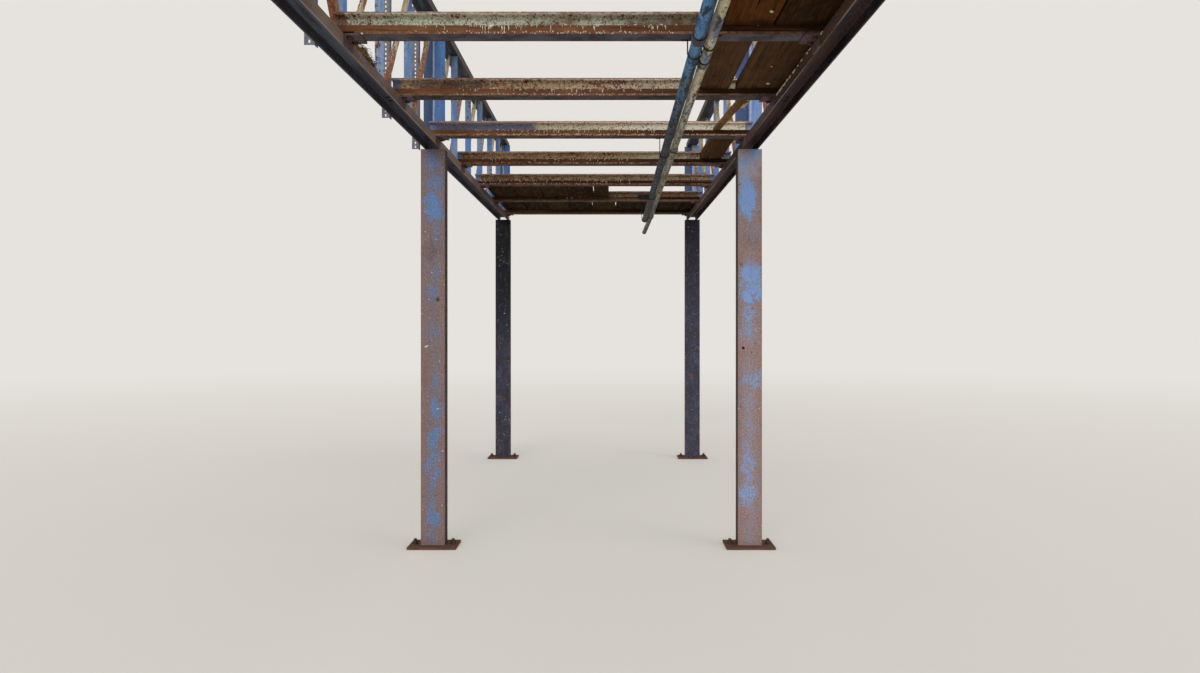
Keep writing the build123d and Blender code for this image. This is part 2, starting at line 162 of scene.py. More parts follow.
def new_material(name, seed=0.0):
    """Start a material. Gives two positions: on the object, in metres, and within the piece's own box,
    from 0 to 1. The first one and the seed stay in hand for the noises of this material."""
    take_up(bpy.data.materials.new(name))
    where = add("TexCoord").outputs
    in_hand.update(where=where["Object"], seed=seed)
    return where["Object"], where["Generated"]


def axes(vector):
    return add("SeparateXYZ", {0: vector}).outputs


def unsigned(value):
    return add("Math", {0: value}, operation="ABSOLUTE").outputs[0]


def from_nearest(value, first, pitch):
    """Distance from the nearest of evenly spaced lines."""
    return add("Math", {0: total(value, -first), 1: pitch / 2}, operation="PINGPONG").outputs[0]


def noise(size_mm, number=0, stretch=(1, 1, 1), detail=5.0, rough=0.6, kind="Fac"):
    """Noise around 0.5 whose coarsest lumps have about the given size. Its number tells it apart from
    the material's other noises."""
    scaled = add("Mapping", {"Vector": in_hand["where"], "Scale": stretch})
    return add("TexNoise", {
        "Vector": scaled.outputs[0], "W": in_hand["seed"] + number, "Scale": METRE / size_mm,
        "Detail": detail, "Roughness": rough}, noise_dimensions="4D").outputs[kind]


def warped(size_mm, number, reach_mm):
    """Position shifted by noise, so that what is drawn with it loses its straight or round border."""
    shift = noise(size_mm, number, detail=4.0, kind="Color")
    centred = add("VectorMath", {0: shift, 1: (0.5, 0.5, 0.5)}, operation="SUBTRACT").outputs[0]
    return add("VectorMath", {0: centred, 1: [reach_mm / METRE] * 3, 2: in_hand["where"]},
               operation="MULTIPLY_ADD").outputs[0]


def facing():
    """Which way the surface faces, as X, Y and Z parts."""
    return axes(add("TexCoord").outputs["Normal"])


def cut(value, low, high, start=0.0, end=1.0):
    """Smooth step between two levels."""
    made = add("MapRange", {
        "Value": value, "From Min": low, "From Max": high, "To Min": start, "To Max": end},
        interpolation_type="SMOOTHSTEP")
    return made.outputs[0]


def fade(value, low, high):
    """Smooth step down, from 1 at the low level to 0 at the high one."""
    return cut(value, low, high, 1.0, 0.0)


def settled(size_mm, level, soft, number):
    """Mask for what settles on faces that look up: dust, and what birds drop."""
    return both(cut(facing()[2], 0.6, 0.9), cut(noise(size_mm, number), level, level + soft))


NOISE_SPAN = 0.36


def patches(size_mm, share, number, edge=0.03, stretch=(1, 1, 1), detail=5.0):
    """Mask that covers about the given share of the surface."""
    level = 0.5 + (0.5 - share) * NOISE_SPAN
    return cut(noise(size_mm, number, stretch, detail), level - edge, level + edge)


def band(value, low, high, soft):
    """Mask that is 1 between two values and fades out over the given width."""
    return both(cut(value, low - soft, low + soft), fade(value, high - soft, high + soft))


def blot(where, middle, reach, strength):
    """Soft ellipse on the XZ plane: middle and reach are (across, up) in millimetres."""
    squeezed = add("Mapping", {
        "Vector": where, "Scale": (METRE / reach[0], 0, METRE / reach[1]),
        "Location": (-middle[0] / reach[0], 0, -middle[1] / reach[1])})
    away = add("VectorMath", {0: squeezed.outputs[0]}, operation="LENGTH").outputs["Value"]
    return cut(away, 0.25, 1.15, strength, 0.0)


def profile(value, levels):
    """Level read from a list that is spread evenly over values from 0 to 1."""
    ramp = add("ValToRGB", {0: value})
    stops = ramp.color_ramp.elements
    stops[0].position, stops[0].color = 0.0, [levels[0]] * 3 + [1]
    stops[1].position, stops[1].color = 1.0, [levels[-1]] * 3 + [1]
    for index, level in enumerate(levels[1:-1], 1):
        stops.new(index / (len(levels) - 1)).color = [level] * 3 + [1]
    return ramp.outputs[0]


def layer(mask, under, over, share=1.0):
    """Colour with one layer laid over another through a mask. A layer is a hex value or a colour."""
    if share < 1.0:
        mask = both(mask, share)
    under, over = [linear(tone) if isinstance(tone, str) else tone for tone in (under, over)]
    return add("Mix", {0: mask, 6: under, 7: over}, data_type="RGBA").outputs[2]


def undercoat(colour):
    in_hand["colour"] = colour


def lay(mask, over, share=1.0):
    """Lay a coat over the colour in hand."""
    undercoat(layer(mask, in_hand["colour"], over, share))


def finish(roughness, height, relief_mm, metallic=0.0, gloss=0.08):
    """Surface shader of the colour in hand, with a bump whose depth is given in millimetres. Only
    differences of height count."""
    bump = add("Bump", {"Height": height, "Strength": 1.0, "Distance": relief_mm / METRE})
    shader = add("BsdfPrincipled", {
        "Base Color": in_hand["colour"], "Roughness": roughness, "Metallic": metallic,
        "Normal": bump.outputs[0], "Specular IOR Level": gloss})
    add("OutputMaterial", {"Surface": shader.outputs[0]})
    return in_hand["owner"]


def wear(material, node_names):
    """Give a finish to solids that are already in place."""
    for name in node_names:
        slots = nodes[name].data.materials
        slots.clear()
        slots.append(material)
    print(material.name, "on", len(node_names), "nodes")


print("a mask over a tenth of the surface cuts the noise at", round(0.5 + 0.4 * NOISE_SPAN, 3))

# %% [markdown]
# ## Columns: worn enamel over primer
#
# The columns are rolled channels, primed in a violet-brown oxide primer and later given a thin
# cornflower-blue enamel. Most of the enamel has been rubbed off. What is left lies in blots down the
# middle of the face, under the head and at chest and knee height, and between them only a lavender
# haze of fine blue dust sits in the primer's grain. The upper face is warmer and browner towards its
# two edges. The flange sides are painted nearly black, as painted shade with some darker paint. The
# right column's head is painted paler, partly a pale haze and partly painted light against the shade
# under the chord. The rear columns have darker copies of the finish as painted shade, deep under the
# platform, and are painted darker still high up and on the faces towards the near end. The bolt hole
# in the right column's face is a painted dark disc, painted shade where the hole is. The primer is
# dead flat, so roughness stays high.
# Blots and stains are listed as millimetres from the column's middle and above the floor, half
# width and half height, and strength.

# %% Column finish
LEFT_BLOTS = [(-20, 2440, 75, 90, 0.55), (10, 2300, 85, 75, 0.6), (-5, 2150, 88, 115, 1.0),
              (20, 1990, 55, 110, 0.4), (40, 1740, 50, 110, 0.6), (15, 1630, 75, 100, 0.55),
              (0, 1350, 110, 160, 0.3), (20, 1090, 60, 130, 0.55), (12, 880, 65, 120, 0.8),
              (10, 690, 70, 140, 0.7), (0, 490, 75, 190, 0.65), (0, 200, 70, 200, 0.6)]
LEFT_STAINS = [(-10, 1870, 110, 105, 0.9), (60, 960, 50, 50, 0.8), (-50, 1060, 45, 80, 0.6)]
RIGHT_BLOTS = [(50, 2480, 50, 50, 0.7), (-20, 2420, 110, 90, 0.5), (-30, 2330, 80, 90, 0.55),
               (-14, 2195, 76, 160, 1.45), (4, 2115, 62, 95, 0.7), (5, 1720, 110, 100, 0.75),
               (10, 1600, 100, 80, 0.95), (-5, 1480, 60, 130, 0.5), (-5, 1330, 80, 120, 0.45),
               (10, 1060, 110, 90, 0.5), (0, 900, 80, 110, 0.4), (-5, 700, 50, 170, 0.4),
               (-10, 520, 55, 180, 0.55), (-20, 330, 85, 110, 0.7)]
RIGHT_STAINS = [(-10, 1930, 100, 85, 0.8), (-60, 1740, 35, 150, 0.9), (-65, 820, 30, 240, 0.6)]


def rubbed_enamel(name, node, seed, primer, stain, blue, haze, dust, shade, others, blots=(), stains=(),
                  hole=None, lit_head=None, warm="#94684f", depth_shade=0.0, depth_shade_from=1.3):
    """Others is how much enamel is left off the blots. Hole is (across, up, radius) in millimetres.
    What depends on height is in metres above the floor."""
    where, inside = new_material(name, seed)
    across, height = axes(inside)[0], axes(where)[2]
    low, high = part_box(node)
    middle = (low.x + high.x) / 2 * METRE
    web_face = cut(unsigned(facing()[1]), 0.5, 0.8)
    bent = warped(70, 8, 170)
    lumps = noise(70, stretch=(1, 1, 0.6), detail=3)
    fine = noise(10, 1, detail=4, rough=0.75)
    grain = noise(4, 2, detail=2, rough=0.8)

    def strongest(spots):
        most = 0.0
        for x, z, *reach, strength in spots:
            most = either(most, blot(bent, (middle + x, z), reach, strength))
        return most

    amount = others
    if blots:
        amount = total(others, both(web_face, total(strongest(blots), -others)))
    ragged = total((lumps, 1.6), (fine, 3.2), (grain, 1.2))
    undercoat(layer(cut(total((lumps, 1.5), (fine, 1.5)), -0.2, 0.3), primer, stain, 0.4))
    lay(cut(total(strongest(stains), ragged), 0.3, 0.8), stain, 0.85)
    dusty = cut(total(0.5, (amount, 0.5, 0.0), ragged, (grain, 1.0)), 0.0, 0.9)
    lay(dusty, haze, 0.85)
    # Painted light, partly a pale haze: the right column's head is laid paler against the shade under
    # the chord.
    if lit_head:
        lit_head_mask = cut(total(height, (lumps, 0.5)), 2.25, 2.4)
        lay(lit_head_mask, lit_head, 0.6)
    margins = both(rest(band(across, 0.26, 0.74, 0.24)),
                   cut(total(height, (lumps, 2.0), (fine, 1.5)), 1.5, 2.1, 1.0, 0.25))
    lay(margins, warm, 0.42)
    left = cut(total(amount, ragged), 0.34, 0.82)
    lay(left, blue, 0.94)
    lay(cut(fine, 0.5, 0.64), dust, 0.3)
    lay(fade(fine, 0.36, 0.5), stain, 0.3)
    rusty = patches(55, 0.12, 5, edge=0.06, stretch=(1, 1, 0.7))
    lay(rusty, "#8a5f4c", 0.45)
    edge = rest(band(across, 0.03, 0.97, 0.03))
    lay(cut(total((edge, 0.5, 0.0), ragged), 0.35, 0.55), "#855a45", 0.6)
    # Painted shade, with some darker paint: the flange sides are laid nearly black.
    lay(rest(web_face), shade, 0.95)
    # Painted shade on the rear columns: darker high up, and most on the faces towards the near end.
    if depth_shade:
        high_shade = cut(total(height, (lumps, 0.8)), depth_shade_from, depth_shade_from + 1.1)
        before = cut(facing()[1], -0.6, -0.2, depth_shade, depth_shade * 0.5)
        lay(both(high_shade, before), "#191a1e")
    runs = patches(5, 0.1, 3, edge=0.04, stretch=(1, 1, 0.03), detail=2)
    lay(runs, "#aba4ab", 0.25)
    for offset, fleck in ((4, "#d9d5d2"), (6, "#b98a6a"), (7, "#3d3234")):
        specks = cut(noise(13, offset, detail=0), 0.78, 0.83)
        lay(specks, fleck, 0.8)
    # Painted shade: the bolt hole is a dark disc, not a hole in the solid.
    if hole:
        painted_hole = cut(blot(where, (middle + hole[0], hole[1]), (hole[2], hole[2]), 1.0), 0.4, 0.6)
        lay(both(painted_hole, web_face), "#1a1614")
    relief = total(left, (fine, 0.8), (grain, 0.5))
    return finish(cut(left, 0.0, 1.0, 0.8, 0.6), relief, 0.35, gloss=0.15)


COLUMNS = {
    "front_left_column": dict(
        name="rubbed_enamel_left", seed=11.0, others=0.36, blots=LEFT_BLOTS, stains=LEFT_STAINS,
        primer="#80675f", stain="#554345", blue="#5682b8", haze="#777784", dust="#b7a7a2",
        shade="#2c282b"),
    "front_right_column": dict(
        name="rubbed_enamel_right", seed=23.0, others=0.4, blots=RIGHT_BLOTS, stains=RIGHT_STAINS,
        primer="#98796f", stain="#644e4e", blue="#7ca8e2", haze="#94929f", dust="#c4b3ae",
        shade="#2b2324", hole=(-42, 1260, 13), lit_head="#b4afb8"),
    # The rear columns have darker copies of the front tones, as painted shade deep under the platform.
    "rear_left_column": dict(
        name="shaded_enamel_left", seed=31.0, others=0.5, depth_shade=0.95, depth_shade_from=0.85, warm="#3b3335",
        primer="#3b3335", stain="#2b2527", blue="#3c4762", haze="#393a45", dust="#46444c",
        shade="#2a2b31"),
    "rear_right_column": dict(
        name="shaded_enamel_right", seed=37.0, others=0.5, depth_shade=0.6, warm="#453b3c",
        primer="#453b3c", stain="#352d2e", blue="#43506e", haze="#41434f", dust="#504d55",
        shade="#2e2f36"),
}
for column, recipe in COLUMNS.items():
    wear(rubbed_enamel(node=column, **recipe), [column])

# %% [markdown]
# ## Joists: cream paint flaking over red oxide
#
# The joists have the oldest paint. A grey-green cream coat has gone to specks a few millimetres
# across, with orange rust between them. It lasts best in the middle of the web, in its shelter, and is
# gone on the flange edges. How much rust shows changes along each joist, so a short list of levels is
# read from its left end to its right end. The cream changes along each joist too, and on the first
# joist it darkens towards the right end as painted shade. The downward faces under the top flange are
# painted paler cream, as painted light where those faces would fall in shade.
# The lip of the bottom flange is rust alone, and its underside, where nothing drips, a dull violet
# grey. The second joist has a dark stain near its left end, and the left third of the third one was
# once painted over in violet blue.

# %% Joist finish
def flaking_cream(name, seed, cream, cream_far, rust_along, pits=0.45, end="#7c88a8", stained=None,
                  blue_until=0.0, rust_tones=("#a86d45", "#6f4631"), edge_tones=("#7b4a38", "#c0a58c"),
                  edge_from=0.96, lip_tones=("#6b4634", "#86644e"), under=("#54483f", "#3b302b")):
    """Places along the joist and up it are shares of its own box, from 0 to 1."""
    _, inside = new_material(name, seed)
    along, _, up = axes(inside)[:3]
    speck = noise(8, stretch=(1, 0.3, 1), detail=3, rough=0.8)
    mottle = noise(20, 6, stretch=(0.8, 0.3, 1), detail=4, rough=0.7)
    wide = noise(80, 1, stretch=(0.7, 1, 1), detail=4)
    # The cream changes towards the right end. On the first joist its dark far cream is painted shade.
    coat = layer(cut(total(along, (wide, 1.2)), 0.3, 0.8), cream, cream_far)
    pin_holes = noise(7, 7, stretch=(1, 0.3, 1), detail=2, rough=0.8)
    coat = layer(cut(pin_holes, 0.5, 0.6), coat, "#5c5441", pits)
    rust = layer(cut(total(mottle, (speck, 0.8)), 0.4, 0.6), *rust_tones)
    rust = layer(patches(60, 0.3, 4, edge=0.08), rust, "#604850", 0.6)
    top_edge = cut(up, 0.86, 0.98, 0.0, 0.12)
    low_edge = cut(up, 0.38, 0.5, 0.1, 0.0)
    bare = cut(total(profile(along, rust_along), top_edge, low_edge,
                     (speck, 4.6), (mottle, 1.8), (wide, 1.3)), 0.34, 0.54)
    undercoat(layer(bare, coat, rust))
    if stained:
        stain = both(band(total(along, (wide, 0.2)), *stained, 0.02),
                     cut(total((speck, 1.0), (mottle, 1.0)), -0.06, 0.06, 1.0, 0.3))
        lay(stain, "#503b3d", 0.85)
    if blue_until > 0:
        start = total(along, (wide, 0.12), (speck, 0.03))
        violet = layer(cut(total(mottle, (speck, 0.6)), 0.4, 0.6), "#6c719a", "#575977")
        painted = both(fade(start, blue_until - 0.01, blue_until + 0.01),
                       fade(total(up, (speck, 0.3)), 0.9, 0.96))
        lay(painted, violet, 0.9)
    # Painted light: downward faces under the top flange are laid paler.
    lit_underside = both(fade(facing()[2], -0.8, -0.5), cut(up, 0.5, 0.7))
    lay(both(lit_underside, rest(bare)), "#f4ead2", 0.5)
    thin_line = cut(total(up, (mottle, 0.06)), edge_from, edge_from + 0.01)
    lay(thin_line, layer(cut(mottle, 0.42, 0.6), *edge_tones), 0.85)
    lip = layer(cut(total(mottle, (speck, 0.8)), 0.42, 0.58), *lip_tones)
    lay(fade(up, 0.116, 0.12), lip)
    grey = layer(cut(wide, 0.42, 0.6), *under)
    grey = layer(patches(30, 0.2, 5, edge=0.05, stretch=(0.3, 1, 1)), grey, "#5c4236", 0.6)
    lay(fade(up, 0.004, 0.012), grey)
    ends = rest(band(along, 0.022, 0.978, 0.002))
    lay(ends, end, 0.85)
    lay(settled(60, 0.3, 0.3, 8), "#7b6c5b", 0.55)
    lay(settled(25, 0.61, 0.04, 9), "#cfc8b8", 0.8)
    relief = total((bare, -1.0), (mottle, 0.6), (speck, 0.4))
    return finish(cut(bare, 0.0, 1.0, 0.6, 0.85), relief, 0.45)


ORANGE_RUST = dict(rust_tones=("#b4744a", "#7a4a33"), edge_tones=("#8a5540", "#c49a7c"),
                   edge_from=0.91, lip_tones=("#593829", "#b58468"))
DULL_RUST = dict(rust_tones=("#a06844", "#69402d"), edge_tones=("#7c4d3a", "#b48d72"),
                 edge_from=0.91, lip_tones=("#452b20", "#92684f"))
JOISTS = {
    # The first joist's dark far cream is painted shade over its right part.
    1: dict(cream="#d0d5c2", cream_far="#6b6750", end="#6b4838", pits=0.6,
            rust_along=[0.4, 0.05, 0.1, 0.16, 0.22, 0.26, 0.24, 0.3],
            edge_tones=("#84553f", "#a8a48d"), edge_from=0.9, under=("#5a575e", "#453f43")),
    2: dict(cream="#ccb992", cream_far="#e8dec4", stained=(0.07, 0.24),
            rust_along=[0.2, 0.4, 0.42, 0.38, 0.34, 0.24, 0.12, 0.2],
            rust_tones=("#b4744a", "#7a4a33"), edge_tones=("#784a37", "#a88c70"),
            edge_from=0.92, lip_tones=("#6b4d40", "#8c7264")),
    3: dict(cream="#ddd2b8", cream_far="#fff8e4", blue_until=0.325, pits=0.2,
            rust_along=[0.1, 0.1, 0.1, 0.18, 0.16, 0.0, -0.25, -0.2], **ORANGE_RUST),
    4: dict(cream="#c0a683", cream_far="#c6bd9e",
            rust_along=[0.5, 0.3, 0.34, 0.44, 0.38, 0.14, 0.4, 0.55], **DULL_RUST),
    5: dict(cream="#ac9978", cream_far="#b3a88a",
            rust_along=[0.55, 0.5, 0.44, 0.42, 0.34, 0.34, 0.46, 0.55], **DULL_RUST),
    6: dict(cream="#6c6450", cream_far="#7a725c",
            rust_along=[0.5, 0.5, 0.5, 0.46, 0.44, 0.44, 0.46, 0.5]),
    7: dict(cream="#5a5140", cream_far="#655b46", rust_along=[0.6, 0.6]),
}
for number, recipe in JOISTS.items():
    wear(flaking_cream(f"flaking_cream_{number}", 40.0 + 7 * number, **recipe), [f"joist_{number}"])

# %% [markdown]
# ## Chords: dark paint, brown where it faces the light
#
# The four chords are channels laid flat. Inside the channel the flange sides are nearly black with a
# blue cast: dark paint, made darker as painted shade. Long paler streaks run along its level faces
# where water has dried. The outer faces of its flanges have faded to a pinkish brown. Each toe's edge
# has a pale, broken line here and there, a painted highlight that is partly worn paint, which makes
# the section readable from below. Each bolt hole is ringed with black dirt.

# %% Chord finish
first_joist = sum(corner.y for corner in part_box("joist_1")) / 2
joist_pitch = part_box("joist_2")[0].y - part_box("joist_1")[0].y
# In metres: from the middle of the platform to the holes, and from a joist's middle to its pair.
HOLE_ACROSS = 1.013
HOLE_FROM_JOIST = 0.033
HOLE_ROWS = (first_joist + 0.5 * joist_pitch, first_joist + 4.5 * joist_pitch)


def hole_grime(where):
    """Mask round the bolt holes, which lie in pairs at the second to fifth joist."""
    x, y = axes(where)[:2]
    past = from_nearest(y, first_joist, joist_pitch)
    away = add("CombineXYZ", {
        0: total(unsigned(x), -HOLE_ACROSS), 1: total(past, -HOLE_FROM_JOIST)})
    reach = add("VectorMath", {0: away.outputs[0]}, operation="LENGTH").outputs["Value"]
    return both(fade(reach, 0.011, 0.018), band(y, *HOLE_ROWS, 0.01))


def faded_black(name, seed, toe_height, shaded_hollow, soffit, streak, face):
    """Toe height is where the flanges end, and face gives the two tones of their outer faces."""
    where, inside = new_material(name, seed)
    across, up = axes(inside)[0], axes(where)[2]
    level = cut(unsigned(facing()[2]), 0.5, 0.8)
    lumps = noise(140, stretch=(1, 0.35, 1))
    fine = noise(10, 1, rough=0.7)
    streaks = noise(20, 2, stretch=(1, 0.03, 1), detail=4)
    # Painted shade, over the dark paint: the channel's inner sides are laid nearly black.
    shaded_inside = layer(cut(lumps, 0.4, 0.62), shaded_hollow, "#2b2a31")
    near = cut(axes(inside)[1], 0.05, 0.4, 0.06, -0.03)
    washed = layer(cut(total(streaks, (lumps, 0.5), near), 0.5, 0.6), soffit, streak)
    undercoat(layer(level, shaded_inside, washed))
    lay(cut(streaks, 0.56, 0.66), streak, 0.4)
    faces = rest(band(across, 0.012, 0.988, 0.004))
    brown = layer(cut(total(lumps, (fine, 1.0)), 0.4, 0.62), *face)
    brown = layer(cut(fine, 0.54, 0.66), brown, "#8d7a6c", 0.4)
    lay(faces, brown)
    rusty = cut(total((fine, 1.0), (lumps, 0.9)), 0.08, 0.16)
    lay(rusty, "#7a4c35", 0.5)
    # Painted highlight, partly worn paint: a pale broken line along each toe's edge.
    toe = band(up, toe_height - 0.0016, toe_height + 0.0016, 0.0005)
    lit_arris = both(toe, rest(band(across, 0.02, 0.98, 0.006)))
    worn = cut(total((streaks, 1.0), (fine, 0.6)), -0.05, 0.03)
    lay(both(lit_arris, worn), "#b09c88", 0.85)
    specks = patches(9, 0.03, 3, edge=0.01, detail=1)
    lay(specks, "#857c74", 0.35)
    lay(settled(80, 0.3, 0.3, 4), "#7b6c5b", 0.5)
    lay(hole_grime(where), "#070605", 0.95)
    return finish(0.62, total(rusty, (fine, 0.6)), 0.25)


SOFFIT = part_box("left_bottom_chord")[0].z
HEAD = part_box("left_top_chord")[1].z
wear(faded_black("faded_black_left", 101.0, SOFFIT, "#454751", "#464552", "#5b6672",
                 face=("#7d6a5f", "#5c4e4a")), ["left_bottom_chord"])
wear(faded_black("faded_black_right", 107.0, SOFFIT, "#1c1a1e", "#4a342c", "#2b2a31",
                 face=("#5c463c", "#3c302c")), ["right_bottom_chord"])
wear(faded_black("faded_black_high", 113.0, HEAD, "#20262b", "#2c343a", "#4a5560",
                 face=("#564a42", "#463c38")), ["left_top_chord", "right_top_chord"])

# %% [markdown]
# ## Posts, uprights and diagonals
#
# The lattice was painted in two blues: a strong one on the posts over the columns and a lighter one
# on the angle uprights. Each post's left half, the leg that lies further back, is painted darker as
# painted shade, and the pale line where it ends is a painted highlight on the front leg's edge. The
# diagonals never had the blue. They are rust with what is left of a cream coat, most of it gone at the
# foot, where water stands.

# %% Lattice finishes
def lattice_paint(name, seed, coat, coat_faded, shadow, rust_share, foot_rust=0.0, shaded_half=None,
                  rust_tones=("#9a5b38", "#5e3b2d")):
    _, inside = new_material(name, seed)
    up = axes(inside)[2]
    lumps = noise(90, stretch=(1, 1, 0.35), detail=4)
    fine = noise(12, 1, stretch=(1, 1, 0.6), rough=0.7)
    streaks = noise(14, 2, stretch=(1, 1, 0.05), detail=3)
    rust = layer(cut(fine, 0.42, 0.58), *rust_tones)
    paint = layer(cut(total(lumps, (streaks, 0.8)), 0.4, 0.6), coat, coat_faded)
    paint = layer(cut(total(streaks, (fine, 0.4)), 0.56, 0.66), paint, shadow, 0.55)
    # Painted shade on the left half, and a painted highlight along the line where it ends.
    if shaded_half:
        across = total(axes(inside)[0], (fine, 0.12))
        paint = layer(fade(across, 0.47, 0.49), paint, shaded_half, 0.8)
        paint = layer(band(across, 0.485, 0.56, 0.012), paint, "#b4bdd6", 0.8)
    foot = both(rest(up), foot_rust)
    bare = cut(total(foot, rust_share, (lumps, 1.2), (fine, 1.1)), 0.42, 0.52)
    undercoat(layer(bare, paint, rust))
    dust = patches(8, 0.08, 3, edge=0.03)
    lay(dust, "#c3bfba", 0.6)
    relief = total((bare, -1.0), (fine, 0.5))
    return finish(cut(bare, 0.0, 1.0, 0.5, 0.85), relief, 0.35, gloss=0.3)


wear(lattice_paint("strong_blue_enamel", 131.0, "#4470b6", "#5582c2", "#2f4672", 0.16,
                   shaded_half="#2c3c5c"), ["front_left_post", "rear_left_post"])
wear(lattice_paint("mid_blue_enamel", 137.0, "#6788c4", "#7c9ad0", "#4d6494", 0.14,
                   shaded_half="#3a4f7c"), ["front_right_post", "rear_right_post"])
wear(lattice_paint("light_blue_enamel", 139.0, "#5482bd", "#8496b4", "#3d5884", 0.3),
     ["left_uprights", "right_uprights"])
wear(lattice_paint("cream_over_rust", 149.0, "#c8ba98", "#ab9c7a", "#7a6a52", 0.3, foot_rust=0.45,
                   rust_tones=("#b07450", "#7b5340")), ["left_diagonals", "right_diagonals"])

# %% [markdown]
# ## Pipes
#
# Two steel water pipes hang under the joists. They were painted again and again, in blue and in
# cream, and the coats now come off in plates. Plates have sharp edges and stand proud, so their mask
# is cut hard and drives the bump. Each pipe has one screwed sleeve, whose rims are dark with old
# jointing compound. The far stretch has peeled more and is flecked white, and the topmost coat is
# nearly gone there. The right sides are painted darker as painted shade, the cream pipe's left side is
# painted paler as painted light, and two short lengths of it are bared to the coat below. Soot darkens
# the far part of each pipe.

# %% Pipe finishes
def peeling_coats(name, seed, coat, coat_pale, under_coat, deep, plate_share, deep_share, further=0.0,
                  far_coat=None, shaded_side=0.0, lit_side=0.0, bared=(), sleeve=None, soot=None):
    """Bared and sleeve give places along Y in metres. Soot gives where it starts and where it is full,
    as shares of the pipe's length, and its strength."""
    where, inside = new_material(name, seed)
    y, share = axes(where)[1], axes(inside)[1]
    peeled = both(cut(share, 0.05, 0.3), further)
    lumps = noise(90, stretch=(1, 0.45, 1), detail=3)
    fine = noise(12, 1, stretch=(1, 0.4, 1), rough=0.7)
    ragged = noise(30, 2, stretch=(1, 0.35, 1), rough=0.7)
    base = layer(cut(total(lumps, (fine, 0.7)), 0.38, 0.62), coat, coat_pale)
    if far_coat:
        base = layer(cut(total(share, (ragged, 0.4)), 0.12, 0.42), base, far_coat, 0.85)
    plates = cut(total(plate_share, (lumps, 2.4), (fine, 1.6)), 0.47, 0.52)
    for start, end in bared:
        plates = either(plates, band(total(y, (ragged, 0.7), (fine, 0.25)), start, end, 0.004))
    undercoat(layer(plates, base, under_coat, 0.9))
    gaps = cut(total(deep_share, peeled, (ragged, 2.8), (fine, 2.0)), 0.42, 0.5)
    lay(gaps, deep, 0.9)
    chips = noise(16, 3, stretch=(1, 0.5, 1), rough=0.8)
    flecks = cut(total(peeled, (chips, 2.6)), 0.28, 0.34)
    lay(flecks, "#d6d0c2", 0.85)
    # Painted shade on the right sides, and painted light on the left sides.
    right = facing()[0]
    lay(cut(total(right, (ragged, 1.5)), -0.3, 0.6), deep, shaded_side)
    lay(fade(total(right, (ragged, 0.8)), -0.9, -0.1), "#fff4da", lit_side)
    if soot:
        start, end, strength = soot
        lay(cut(total(share, (lumps, 0.3)), start, end), "#12161a", strength)
    if sleeve:
        (start, end), ring = sleeve
        on_sleeve = band(y, start, end, 0.0004)
        lay(on_sleeve, layer(cut(fine, 0.4, 0.6), ring, "#4c4650"))
        for rim in (start, end):
            lay(band(y, rim - 0.005, rim + 0.004, 0.001), "#26242a", 0.8)
    relief = total((plates, -0.5), (gaps, -0.8), (fine, 0.6))
    return finish(0.55, relief, 1.0)


BLUE_SLEEVE = (-2.7355, -2.6735)
CREAM_SLEEVE = (-2.4055, -2.3435)
wear(peeling_coats("peeling_blue", 161.0, "#4680b6", "#6f9ecb", "#8b9196", "#212b35", 0.2, 0.3, 0.12,
                   far_coat="#3a4855", shaded_side=0.8, sleeve=(BLUE_SLEEVE, "#4a444d"),
                   soot=(-0.04, 0.36, 0.64)), ["blue_pipe"])
wear(peeling_coats("peeling_cream", 173.0, "#c9bb93", "#e2dac2", "#6482a6", "#3d352e", 0.22, 0.28, 0.12,
                   far_coat="#857f70", shaded_side=0.3, lit_side=0.4, sleeve=(CREAM_SLEEVE, "#8a8a86"),
                   soot=(0.45, 1.0, 0.6), bared=((-2.88, -2.72), (-2.53, -2.41))), ["cream_pipe"])
wear(peeling_coats("black_iron", 181.0, "#1d1e21", "#282726", "#332e29", "#121112", 0.2, 0.2),
     ["pipe_tee"])

# %% [markdown]
# ## Timber
#
# The deck boards are rough-sawn softwood, brown with age and stained by old oil. The grain is noise
# stretched about thirty times along the board. Growth rings on the flat face are wider and wander, and
# a few knots bend them: the knots are the centres of large Voronoi cells. Saw marks cross the board
# every few centimetres. Boards differ in tone, so the places of their edges are read from the solid,
# and each board gets its own level in a stepped ramp. Their ends are painted dark over the joists:
# painted shade in the gap where board meets joist. One loose strip was painted cream on one side of a
# slanting line. The battens are painted darker to the right, under the boards, and further back: both
# are painted shade.

# %% Timber finishes
KNOT_CELL = 330.0
RING_COUNT = 9.0
BEFORE_EDGE = 0.003


def board_edges(node):
    """Left and right edge of each board in a node, in metres, sorted from the left."""
    found = sorted({round(corner.co.x, 4) for corner in nodes[node].data.vertices})
    return list(zip(found[::2], found[1::2]))


